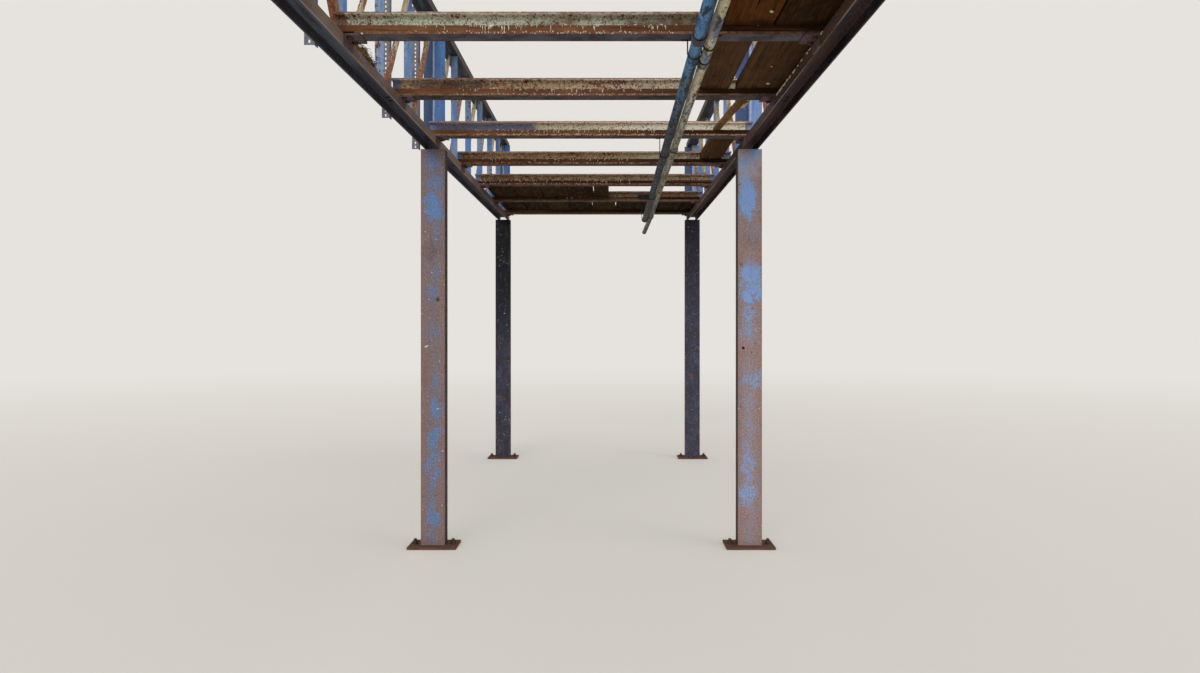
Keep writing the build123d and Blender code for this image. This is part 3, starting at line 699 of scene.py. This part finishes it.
def sawn_timber(name, seed, tones, along, stain_share, board_levels=None, saw_marks=0.35, painted=None,
                shaded_ends=False, shaded_from=None, dark_after=None):
    """Along is the axis that the grain follows, 0 for X or 1 for Y. Shaded from is a place along X, and
    dark after one along Y, in metres."""
    where, _ = new_material(name, seed)
    x, y = axes(where)[:2]
    lengthways, slow, crossways = [1.0] * 3, [1.0] * 3, [0.12, 0.12, 1.0]
    lengthways[along], slow[along], crossways[along] = 0.03, 0.1, 1.0
    pale, mid, dark, darkest = tones
    grain = noise(7, stretch=lengthways, detail=6, rough=0.7)
    lumps = noise(130, 1, detail=3)
    knots = add("TexVoronoi", {"Vector": where, "Scale": METRE / KNOT_CELL}).outputs["Distance"]
    knot = fade(total(knots, (grain, 0.06)), 0.03, 0.075)
    bent = total((knots, 0.35, 0.0), (lumps, 0.5), noise(60, 2, stretch=slow, detail=2))
    rings = from_nearest(both(bent, RING_COUNT), 0.0, 2.0)
    tone = lumps
    if board_levels:
        # The ramp runs from one metre left of the middle to one metre right of it.
        steps = add("ValToRGB", {0: total(0.5, (x, 0.5, 0.0))})
        steps.color_ramp.interpolation = "CONSTANT"
        stops = steps.color_ramp.elements
        for index, ((left, _), level) in enumerate(board_levels):
            position = 0.5 + 0.5 * (left - BEFORE_EDGE)
            stop = stops[0] if index == 0 else stops[1] if index == 1 else stops.new(position)
            stop.position, stop.color = position, [level] * 3 + [1]
        if len(board_levels) == 1:
            stops.remove(stops[1])
        tone = total(steps.outputs[0], (lumps, 0.5))
    undercoat(layer(cut(tone, 0.2, 0.8), dark, pale))
    lay(cut(rings, 0.35, 0.9), mid, 0.55)
    lay(cut(grain, 0.5, 0.62), darkest, 0.6)
    lay(fade(grain, 0.36, 0.44), pale, 0.35)
    marks = noise(26, 3, stretch=crossways, detail=2)
    lay(cut(marks, 0.56, 0.64), dark, saw_marks)
    lay(knot, darkest, 0.85)
    stain = cut(total(stain_share, (lumps, 1.2), (noise(40, 4), 0.7)), 0.42, 0.62)
    lay(stain, "#24170f", 0.6)
    # Painted shade: the battens darken to the right, under the boards.
    if shaded_from is not None:
        to_right = total(x, (lumps, 0.4))
        lay(cut(to_right, shaded_from - 0.5, shaded_from), "#3a2a1c", 0.65)
        lay(cut(to_right, shaded_from, shaded_from + 0.1), "#1f140c", 0.6)
    # Painted shade: the battens darken further back.
    if dark_after is not None:
        lay(cut(y, dark_after, dark_after + 1.6), "#22160e", 0.75)
    # Painted shade at the board ends over the joists.
    if shaded_ends:
        from_joist = from_nearest(y, first_joist, joist_pitch)
        near_joist_shade = fade(total(from_joist, (lumps, 0.35), (grain, 0.1)), 0.0, 0.13)
        lay(near_joist_shade, "#1d130b", 0.75)
    worn = patches(30, 0.2, 6, edge=0.05, stretch=lengthways, detail=4)
    lay(worn, pale, 0.35)
    split = patches(16, 0.03, 5, edge=0.01, stretch=lengthways, detail=2)
    lay(split, "#1a120c")
    if painted:
        (from_x, from_y), slope, coat = painted
        beyond = total(x, -from_x, (y, slope, from_y))
        kept = cut(total((lumps, 1.5), (grain, 1.0)), -0.2, -0.1)
        lay(both(cut(beyond, 0.0, 0.001), kept), coat)
    lay(settled(90, 0.3, 0.3, 7), "#75664f", 0.5)
    lay(settled(28, 0.63, 0.03, 8), "#c4bcab", 0.8)
    relief = total((grain, -1.0), (marks, 0.5), (split, -1.5))
    return finish(0.9, relief, 0.8, gloss=0.02)


ORANGE = ("#613a1a", "#4c3018", "#332213", "#1c130c")
BROWN = ("#6b4a2e", "#553c27", "#3e2d20", "#22170f")
UMBER = ("#5f452c", "#4c3420", "#392515", "#22160d")
DARK = ("#33220f", "#4f3b18", "#1d130c", "#120b06")
BATTEN = ("#865c3f", "#754a30", "#5a3825", "#3d2618")
STRIP = ("#8f6c47", "#74502f", "#5c3f26", "#432e1b")
tone_of = random.Random(17)
DECK = {"bay_0_boards": (ORANGE, (0.85, 0.15)), "bay_1_boards": (BROWN, (0.5, 0.45)),
        "bay_3_boards": (UMBER, (0.55,)), "bay_5_boards": (DARK, None),
        "bay_6_boards": (DARK, (0.35, 0.3, 0.95, 0.15, 0.85, 0.3, 0.2, 0.4, 0.3))}
for node, (tones, levels) in DECK.items():
    edges = board_edges(node)
    levels = levels or [tone_of.uniform(0.05, 0.95) for _ in edges]
    print(node, "boards:", len(edges))
    wear(sawn_timber("sawn_" + node, 191.0 + 3 * len(edges), tones, 1, 0.16, list(zip(edges, levels)),
                     shaded_ends=True), [node])
SEAM_SLOPE = 0.07
SEAM_FROM_EDGE = 0.0215
strip_low, strip_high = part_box("bay_2_strips")
seam = (strip_high.x - SEAM_FROM_EDGE, strip_low.y)
wear(sawn_timber("sawn_strips", 203.0, STRIP, 1, 0.05, painted=(seam, SEAM_SLOPE, "#c3b48c")),
     ["bay_2_strips"])
wear(sawn_timber("sawn_battens", 211.0, BATTEN, 0, 0.1, saw_marks=0.15, shaded_from=0.46,
                 dark_after=-0.7), ["joist_battens"])
wear(sawn_timber("sawn_sleeper", 223.0, UMBER, 0, 0.2), ["near_sleeper"])

# %% [markdown]
# ## Bare steel: feet, cleats, slotted angle and hooks
#
# The foot plates and cleats were never painted well and are rust with a violet-brown skin. The
# slotted angle is galvanised: zinc is a metal, so it is partly metallic, but weathered zinc has a
# dull violet-grey bloom and has lost its mirror, so it is rough.

# %% Bare steel finishes
def rusted_steel(name, seed, skin, skin_dark, pit):
    new_material(name, seed)
    lumps = noise(45)
    fine = noise(7, 1, rough=0.7)
    undercoat(layer(cut(total(lumps, (fine, 0.6)), 0.38, 0.62), skin, skin_dark))
    pits = cut(total(fine, (lumps, 0.6)), 0.53, 0.6)
    lay(pits, pit, 0.7)
    return finish(0.8, total((pits, -1.0), (fine, 0.5)), 0.5)


def weathered_zinc(name, seed):
    new_material(name, seed)
    lumps = noise(40, stretch=(1, 1, 0.5))
    fine = noise(6, 1, rough=0.7)
    undercoat(layer(cut(total(lumps, (fine, 0.8)), 0.38, 0.62), "#666878", "#82828c"))
    rusty = cut(total((lumps, 1.4), (fine, 1.0)), 0.12, 0.2)
    lay(rusty, "#6b5249", 0.8)
    return finish(0.6, total(rusty, (fine, 0.6)), 0.2, metallic=0.2)


wear(rusted_steel("rusted_foot", 227.0, "#6b4e44", "#4f3a35", "#8a5d43"),
     [f"{row}_{side}_base_plate" for row in ("front", "rear") for side in ("left", "right")])
wear(rusted_steel("rusted_cleat", 229.0, "#67595b", "#4d4144", "#7a5844"),
     ["left_seat_cleats", "right_seat_cleats"])
wear(rusted_steel("dark_hook", 233.0, "#2f2c2d", "#3d3532", "#5a4436"), ["pipe_hangers"])
wear(weathered_zinc("weathered_zinc", 239.0), ["slotted_posts"])

# %% [markdown]
# ## Bolts
#
# A bolt head is a hexagonal prism whose corners are turned off by a shallow cone, with a washer
# under it. Each of these is a stack of rings with a skin between them. One mesh is built in bmesh code
# for each size and shared by every bolt of that size.

# %% Bolt meshes
def skin(shape, rings):
    """Side faces from ring to ring, and a cap on each end."""
    for lower, upper in zip(rings, rings[1:]):
        for i in range(len(lower)):
            j = (i + 1) % len(lower)
            shape.faces.new((lower[i], lower[j], upper[j], upper[i]))
    shape.faces.new(list(reversed(rings[0])))
    shape.faces.new(rings[-1])


def to_mesh(name, shape):
    mesh = bpy.data.meshes.new(name)
    shape.to_mesh(mesh)
    shape.free()
    return mesh


def bolt_mesh(name, across_flats, thick, washer, washer_thick, stud=0.0, stud_length=0.0):
    """Nut or head standing up along +Z from its seat at z = 0, with a washer and an end of thread."""
    shape = bmesh.new()

    def stack(sides, *levels):
        skin(shape, [[shape.verts.new((radius * math.cos(math.tau * i / sides),
                                       radius * math.sin(math.tau * i / sides), height))
                      for i in range(sides)] for radius, height in levels])

    stack(24, (washer / 2, 0.0), (washer / 2, washer_thick * 0.8),
          (washer / 2 - washer_thick * 0.3, washer_thick))
    corner = across_flats / math.sqrt(3)
    chamfer = corner * 0.08
    stack(6, (corner - chamfer, washer_thick), (corner, washer_thick + chamfer * 0.6),
          (corner, thick - chamfer * 0.6), (corner - chamfer, thick))
    if stud > 0:
        stack(16, (stud / 2, thick - chamfer), (stud / 2, thick + stud_length - stud * 0.12),
              (stud / 2 - stud * 0.12, thick + stud_length))
    return to_mesh(name, shape)


def add_piece(name, mesh, material):
    """Make a mesh a piece of the object, fixed to its one body."""
    mesh.materials.append(material)
    piece = bpy.data.objects.new(name, mesh)
    bpy.context.scene.collection.objects.link(piece)
    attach(piece, "root")
    print(name, "faces:", len(mesh.polygons))


def set_bolts(name, mesh, places, material):
    """Place one bolt per (point, direction) and join them in one piece."""
    shape = bmesh.new()
    turn = random.Random(name)
    for point, direction in places:
        start = len(shape.verts)
        shape.from_mesh(mesh)
        shape.verts.ensure_lookup_table()
        frame_turn = Vector((0, 0, 1)).rotation_difference(Vector(direction)).to_matrix().to_4x4()
        spin = Matrix.Rotation(turn.uniform(0, math.tau / 6), 4, "Z")
        matrix = Matrix.Translation(point) @ frame_turn @ spin
        bmesh.ops.transform(shape, matrix=matrix, verts=shape.verts[start:])
    print(name, "has", len(places), "bolts")
    add_piece(name, to_mesh(name, shape), material)


bolt_steel = rusted_steel("bolt_steel", 241.0, "#5d4436", "#3b2c26", "#7d5238")
M12_HEAD = bolt_mesh("m12_head", 0.019, 0.010, 0.024, 0.002)
M20_NUT = bolt_mesh("m20_nut", 0.030, 0.019, 0.037, 0.003, 0.020, 0.014)

# %% [markdown]
# The seat cleats hold each joist end with two bolts from below, one each side of the joist's web, and
# each foot plate has two anchor nuts. The places come from the solids' own boxes.

# %% Bolts on cleats and feet
JOIST_BOLT_REACH = 0.034
CLEAT_BOLT_FROM_CHORD = 0.022
CLEAT_THICK = 0.008
inner_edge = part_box("right_bottom_chord")[0].x
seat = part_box("right_seat_cleats")[1].z - CLEAT_THICK
cleat_places = []
for number in JOISTS:
    low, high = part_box(f"joist_{number}")
    middle = (low.y + high.y) / 2
    for side in (-1, 1):
        for offset in (-JOIST_BOLT_REACH, JOIST_BOLT_REACH):
            point = Vector((side * (inner_edge - CLEAT_BOLT_FROM_CHORD), middle + offset, seat))
            cleat_places.append((point, (0, 0, -1)))
set_bolts("cleat_bolts", M12_HEAD, cleat_places, bolt_steel)

ANCHOR_FROM_EDGE = 0.032
foot_places = []
for row in ("front", "rear"):
    for side in ("left", "right"):
        low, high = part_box(f"{row}_{side}_base_plate")
        for x in (low.x + ANCHOR_FROM_EDGE, high.x - ANCHOR_FROM_EDGE):
            foot_places.append((Vector((x, (low.y + high.y) / 2, high.z)), (0, 0, 1)))
set_bolts("anchor_nuts", M20_NUT, foot_places, bolt_steel)

# %% [markdown]
# The slotted angles are held by one bolt at each chord, through the leg that lies on the chord's outer
# flange. One more bolt is left in the left column's face, and holds nothing now.

# %% Bolts on the slotted angles and the column
M10_HEAD = bolt_mesh("m10_head", 0.017, 0.008, 0.021, 0.002)
SLOTTED_LEG = 0.041
SLOTTED_THICK = 0.0025
COLUMN_BOLT = (0.029, 1.566)
outer_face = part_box("left_bottom_chord")[0].x - SLOTTED_THICK
leg_starts = sorted({round(corner.co.y, 3) for corner in nodes["slotted_posts"].data.vertices
                     if abs(corner.co.x - outer_face) < 0.0005})[::2]
heights = [sum(corner.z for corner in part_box(node)) / 2
           for node in ("left_bottom_chord", "left_top_chord")]
slot_places = [(Vector((outer_face, y + SLOTTED_LEG / 2, z)), (-1, 0, 0))
               for y in leg_starts for z in heights]
set_bolts("slotted_bolts", M10_HEAD, slot_places, bolt_steel)
column_low, column_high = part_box("front_left_column")
left_over = Vector(((column_low.x + column_high.x) / 2 + COLUMN_BOLT[0], column_low.y, COLUMN_BOLT[1]))
set_bolts("column_bolt", M10_HEAD, [(left_over, (0, -1, 0))], bolt_steel)

# %% [markdown]
# ## Lumps on a surface
#
# Droppings, weld beads and a nest's fluff are all small flattened lumps that sit on a face. One
# function builds such a lump from a ragged ring on the face, a smaller ring above it and a top point.
# Given the direction in which it runs, it can be a round splash or a long drip.

# %% Lumps
CORNERS = 9
SHOULDER = 0.62
SHOULDER_RISE = 0.75


def lump(shape, centre, normal, along, length, width, rise, chance, corners=CORNERS):
    normal = Vector(normal).normalized()
    along = (Vector(along) - normal * Vector(along).dot(normal)).normalized()
    aside = normal.cross(along)
    spread = [chance.uniform(0.75, 1.15) for _ in range(corners)]

    def ring(share, height):
        return [shape.verts.new(centre + normal * height + share * spread[i] * (
            along * (length / 2 * math.cos(math.tau * i / corners))
            + aside * (width / 2 * math.sin(math.tau * i / corners)))) for i in range(corners)]

    foot, shoulder = ring(1.0, 0.0), ring(SHOULDER, rise * SHOULDER_RISE)
    top = shape.verts.new(centre + normal * rise)
    shape.faces.new(list(reversed(foot)))
    for i in range(corners):
        j = (i + 1) % corners
        shape.faces.new((foot[i], foot[j], shoulder[j], shoulder[i]))
        shape.faces.new((shoulder[i], shoulder[j], top))


def add_smooth(name, shape, material):
    for face in shape.faces:
        face.smooth = True
    add_piece(name, to_mesh(name, shape), material)


print("a lump has", 2 * CORNERS + 1, "faces")

# %% [markdown]
# ## Droppings
#
# Birds roost on the joists over the open bays. Their droppings dry to a chalky white: drips down the
# front of the battens, beads along the edge of the flange below, and a few splashes under the boards,
# on the left column and along the inner edge of the right chord. Three thick clumps stick to the first
# joist. The white is not even, it greys where it is thin. Each roost below is a joist number, where the
# birds sit from left to right in metres, and how many lumps.

# %% Droppings
def dry_crumbs(name, seed, crumb_mm, tone, other_tone, relief_mm):
    new_material(name, seed)
    fine = noise(crumb_mm, rough=0.7)
    undercoat(layer(cut(fine, 0.4, 0.6), tone, other_tone))
    return finish(0.95, fine, relief_mm, gloss=0.1)


lime = dry_crumbs("dried_lime", 251.0, 6, "#e3ddcf", "#b3aa98", 0.5)
ROOSTS = [(1, -0.72, -0.46, 26), (1, -0.45, -0.3, 60), (1, -0.3, 0.05, 80), (1, 0.05, 0.38, 60),
          (2, -0.68, -0.5, 20), (2, -0.5, -0.2, 44), (2, -0.2, 0.16, 90), (2, 0.16, 0.42, 30),
          (3, -0.72, -0.45, 60), (3, -0.45, 0.4, 200), (3, 0.4, 0.9, 24), (4, -0.8, 0.3, 80),
          (5, -0.95, -0.7, 50), (5, -0.7, 0.3, 110), (6, -0.6, 0.3, 20)]
chance = random.Random(29)
shape = bmesh.new()
batten_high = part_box("joist_battens")[1].z
flange_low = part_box("joist_1")[0].z
for number, start, end, count in ROOSTS:
    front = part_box(f"joist_{number}")[0].y
    for _ in range(count):
        x = chance.uniform(start, end)
        kind = chance.random()
        if kind < 0.5:
            at = Vector((x, front, flange_low + chance.uniform(0.002, 0.012)))
            size = chance.uniform(0.002, 0.006)
            lump(shape, at, (0, -1, 0), (0, 0, 1), size * 1.3, size, 0.002, chance)
        elif kind < 0.9:
            reach = chance.uniform(*((0.003, 0.008) if chance.random() < 0.6 else (0.008, 0.024)))
            at = Vector((x, front, batten_high - reach / 2))
            lump(shape, at, (0, -1, 0), (0, 0, 1), reach, chance.uniform(0.002, 0.005), 0.0015, chance)
        else:
            size = chance.uniform(0.004, 0.011)
            at = Vector((x, front + 0.004, batten_high))
            lump(shape, at, (0, -0.6, 0.8), (1, 0, 0), size * 1.4, size, size * 0.6, chance)
chord_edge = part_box("right_bottom_chord")
EDGE_LUMPS, EDGE_FROM, EDGE_LENGTH = 46, -2.65, 0.95
for _ in range(EDGE_LUMPS):
    y = EDGE_FROM + EDGE_LENGTH * chance.random() ** 0.7
    size = chance.uniform(0.006, 0.022)
    at = Vector((chord_edge[0].x, y, chord_edge[1].z - size * 0.35))
    lump(shape, at, (-1, 0, 0), (0, 1, 0), size * 1.8, size * 0.7, 0.003, chance)
UNDER_BOARDS = ((0.726, -2.743, 0.018), (0.896, -1.771, 0.02), (0.702, -2.59, 0.009),
                (0.86, -2.05, 0.01))
board_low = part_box("bay_1_boards")[0].z
for x, y, size in UNDER_BOARDS:
    lump(shape, Vector((x, y, board_low)), (0, 0, -1), (0.5, 1, 0), size * 1.6, size, 0.003, chance)
ON_COLUMN = ((-1.04, 1.27, 0.02), (-1.024, 1.566, 0.009), (-0.94, 0.61, 0.011), (-0.97, 0.875, 0.012))
for x, z, size in ON_COLUMN:
    at = Vector((x, column_low.y, z))
    lump(shape, at, (0, -1, 0), (1, 0, 0.5), size * 1.5, size * 0.8, 0.002, chance)
ON_JOIST = ((-0.367, -2.595, 2.599, 0.024), (-0.8787, -2.595, 2.567, 0.011),
            (0.06, -2.595, 2.6, 0.016))
for *at, size in ON_JOIST:
    lump(shape, Vector(at), (0, -1, 0), (1, 0, 0), size, size * 0.8, 0.005, chance)
add_smooth("droppings", shape, lime)

# %% [markdown]
# ## Old nest
#
# A heap of straw and fluff sits on the left chord behind the first joist. It is a low mound of lumps
# with stalks lying over it every way, each stalk a thin four-sided rod bent once.

# %% Nest
STALK_RADIUS = 0.0011


def stalk(shape, points):
    rings = []
    for index, point in enumerate(points):
        ahead = (points[min(index + 1, len(points) - 1)] - points[max(index - 1, 0)]).normalized()
        side = ahead.orthogonal().normalized()
        other = ahead.cross(side)
        rings.append([shape.verts.new(point + STALK_RADIUS * (
            side * math.cos(math.tau * i / 4) + other * math.sin(math.tau * i / 4))) for i in range(4)])
    skin(shape, rings)


chance = random.Random(31)
shape = bmesh.new()
chord_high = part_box("left_bottom_chord")[1]
NEST_FROM, NEST_TO = -2.42, -2.12
NEST_FROM_EDGE, NEST_HALF, NEST_HEIGHT = 0.02, 0.03, 0.052
LUMPS, STALKS = 70, 260
nest_x = chord_high.x - NEST_FROM_EDGE
nest_middle = (NEST_FROM + NEST_TO) / 2


def mound(y):
    """Height of the heap, which falls off towards its two ends."""
    return NEST_HEIGHT * (1.0 - (abs(y - nest_middle) / (NEST_TO - nest_middle)) ** 2 * 0.6)


for _ in range(LUMPS):
    y = chance.uniform(NEST_FROM, NEST_TO)
    at = Vector((nest_x + chance.uniform(-0.02, 0.012), y, chord_high.z))
    lump(shape, at, (0, 0, 1), (0, 1, 0), chance.uniform(0.03, 0.06), 0.035,
         mound(y) * chance.uniform(0.5, 0.95), chance)
for _ in range(STALKS):
    y = chance.uniform(NEST_FROM, NEST_TO)
    middle = Vector((nest_x + chance.uniform(-NEST_HALF, NEST_HALF * 0.8), y,
                     chord_high.z + chance.uniform(0.1, 1.0) * mound(y)))
    turn = chance.uniform(0, math.tau)
    half = Vector((math.cos(turn) * 0.4, math.sin(turn), chance.uniform(-0.2, 0.2)))
    half *= chance.uniform(0.01, 0.022)
    bend = Vector((chance.uniform(-1, 1), chance.uniform(-1, 1), chance.uniform(0, 1))) * 0.004
    points = [middle - half, middle + bend, middle + half]
    for point in points:
        point.z = max(point.z, chord_high.z + 0.001)
    stalk(shape, points)
straw = dry_crumbs("dry_straw", 257.0, 9, "#86693c", "#3a2c1c", 1.0)
add_smooth("nest", shape, straw)

# %% [markdown]
# ## Weld beads and nails
#
# The uprights are welded to the chords along the front of their leg, so a row of small overlapping
# lumps follows that line at foot and head. The boards are nailed at both ends.

# %% Weld beads
BEAD_STEP = 0.0055
BEAD_SIZE = (0.009, 0.008, 0.003)
BEAD_CORNERS = 7
chance = random.Random(37)
shape = bmesh.new()
for side in ("left", "right"):
    corners = nodes[side + "_uprights"].data.vertices
    low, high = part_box(side + "_uprights")
    fronts = sorted({round(corner.co.y, 3) for corner in corners})[::4]
    for y in fronts:
        spots = [corner.co.x for corner in corners if abs(corner.co.y - y) < 0.001]
        for z, lean in ((low.z, 1), (high.z, -1)):
            x = min(spots)
            while x < max(spots):
                at = Vector((x, y, z))
                lump(shape, at, (0, -1, lean), (1, 0, 0), *BEAD_SIZE, chance, BEAD_CORNERS)
                x += BEAD_STEP
weld_steel = rusted_steel("weld_steel", 263.0, "#5b5a68", "#443f48", "#6a4c3c")
add_smooth("weld_beads", shape, weld_steel)

# %% Nails
nail_mesh = bolt_mesh("nail_head", 0.007, 0.0016, 0.0075, 0.0008)
NAIL_FROM_EDGE = 0.03
nail_places = []
for node in DECK:
    low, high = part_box(node)
    for left, right in board_edges(node):
        for x in (left + NAIL_FROM_EDGE, right - NAIL_FROM_EDGE):
            for y in (low.y + NAIL_FROM_EDGE, high.y - NAIL_FROM_EDGE):
                nail_places.append((Vector((x, y, high.z)), (0, 0, 1)))
set_bolts("board_nails", nail_mesh, nail_places, bolt_steel)

# %% [markdown]
# ## Floor, backdrop and light
#
# The object is shown on a plain pale floor under soft light. The world lights it evenly, and a far
# lamp behind the eye and one to the side give the faces a little shape. The pale background is the
# world's own colour as the camera sees it. The floor glows a little with that colour for the camera
# alone, and far from the object it fades into it, so that no horizon crosses the picture.

# %% Floor
floor_mesh = bpy.data.meshes.new("floor")
FLOOR_RADIUS = 60.0
FLOOR_SIDES = 64
turns = [math.tau * i / FLOOR_SIDES for i in range(FLOOR_SIDES)]
rim = [(FLOOR_RADIUS * math.cos(turn), FLOOR_RADIUS * math.sin(turn), 0.0) for turn in turns]
floor_mesh.from_pydata(rim, [], [list(range(FLOOR_SIDES))])
floor = bpy.data.objects.new("floor", floor_mesh)
bpy.context.scene.collection.objects.link(floor)
FADE_FROM, FADE_TO = 4.0, 24.0
FLOOR_GLOW = 0.16
BACKDROP = linear("#e6e3de")
where, _ = new_material("pale_floor")
sees = add("LightPath").outputs["Is Camera Ray"]
near_floor = add("BsdfPrincipled", {
    "Base Color": linear("#dedbd6"), "Roughness": 0.9, "Specular IOR Level": 0.35,
    "Emission Color": BACKDROP, "Emission Strength": both(sees, FLOOR_GLOW)})
away = add("VectorMath", {0: where}, operation="LENGTH").outputs["Value"]
faded = both(cut(away, FADE_FROM, FADE_TO), sees)
far_floor = add("Emission", {"Color": BACKDROP, "Strength": 1.0})
laid = add("MixShader", {0: faded, 1: near_floor.outputs[0], 2: far_floor.outputs[0]})
add("OutputMaterial", {"Surface": laid.outputs[0]})
floor_mesh.materials.append(in_hand["owner"])
print("floor:", 2 * FLOOR_RADIUS, "m across")

# %% Light
SOFT_LIGHT = 0.66
world = bpy.data.worlds.new("soft_room")
take_up(world)
seen = add("LightPath").outputs
looks = 0.0
for ray in ("Is Camera Ray", "Is Transmission Ray", "Is Glossy Ray"):
    looks = either(looks, seen[ray])
soft = add("Background", {"Color": linear("#f4f2ee"), "Strength": SOFT_LIGHT})
pale = add("Background", {"Color": BACKDROP, "Strength": 1.0})
mixed = add("MixShader", {0: looks, 1: soft.outputs[0], 2: pale.outputs[0]})
add("OutputWorld", {"Surface": mixed.outputs[0]})
bpy.context.scene.world = world


def distant_lamp(name, travels, strength, spread_degrees):
    """A far lamp lights the floor evenly; a wide spread gives its shadows soft edges."""
    data = bpy.data.lights.new(name, "SUN")
    data.energy = strength
    data.angle = math.radians(spread_degrees)
    made = bpy.data.objects.new(name, data)
    made.rotation_euler = Vector(travels).to_track_quat("-Z", "Y").to_euler()
    bpy.context.scene.collection.objects.link(made)


distant_lamp("behind_the_eye", (0.3, 1.0, -0.2), 1.25, 40)
distant_lamp("side", (-1.0, 0.4, -0.8), 0.4, 40)
bpy.context.scene.view_settings.view_transform = "Standard"
print("lamps:", [lamp.name for lamp in bpy.data.lights])
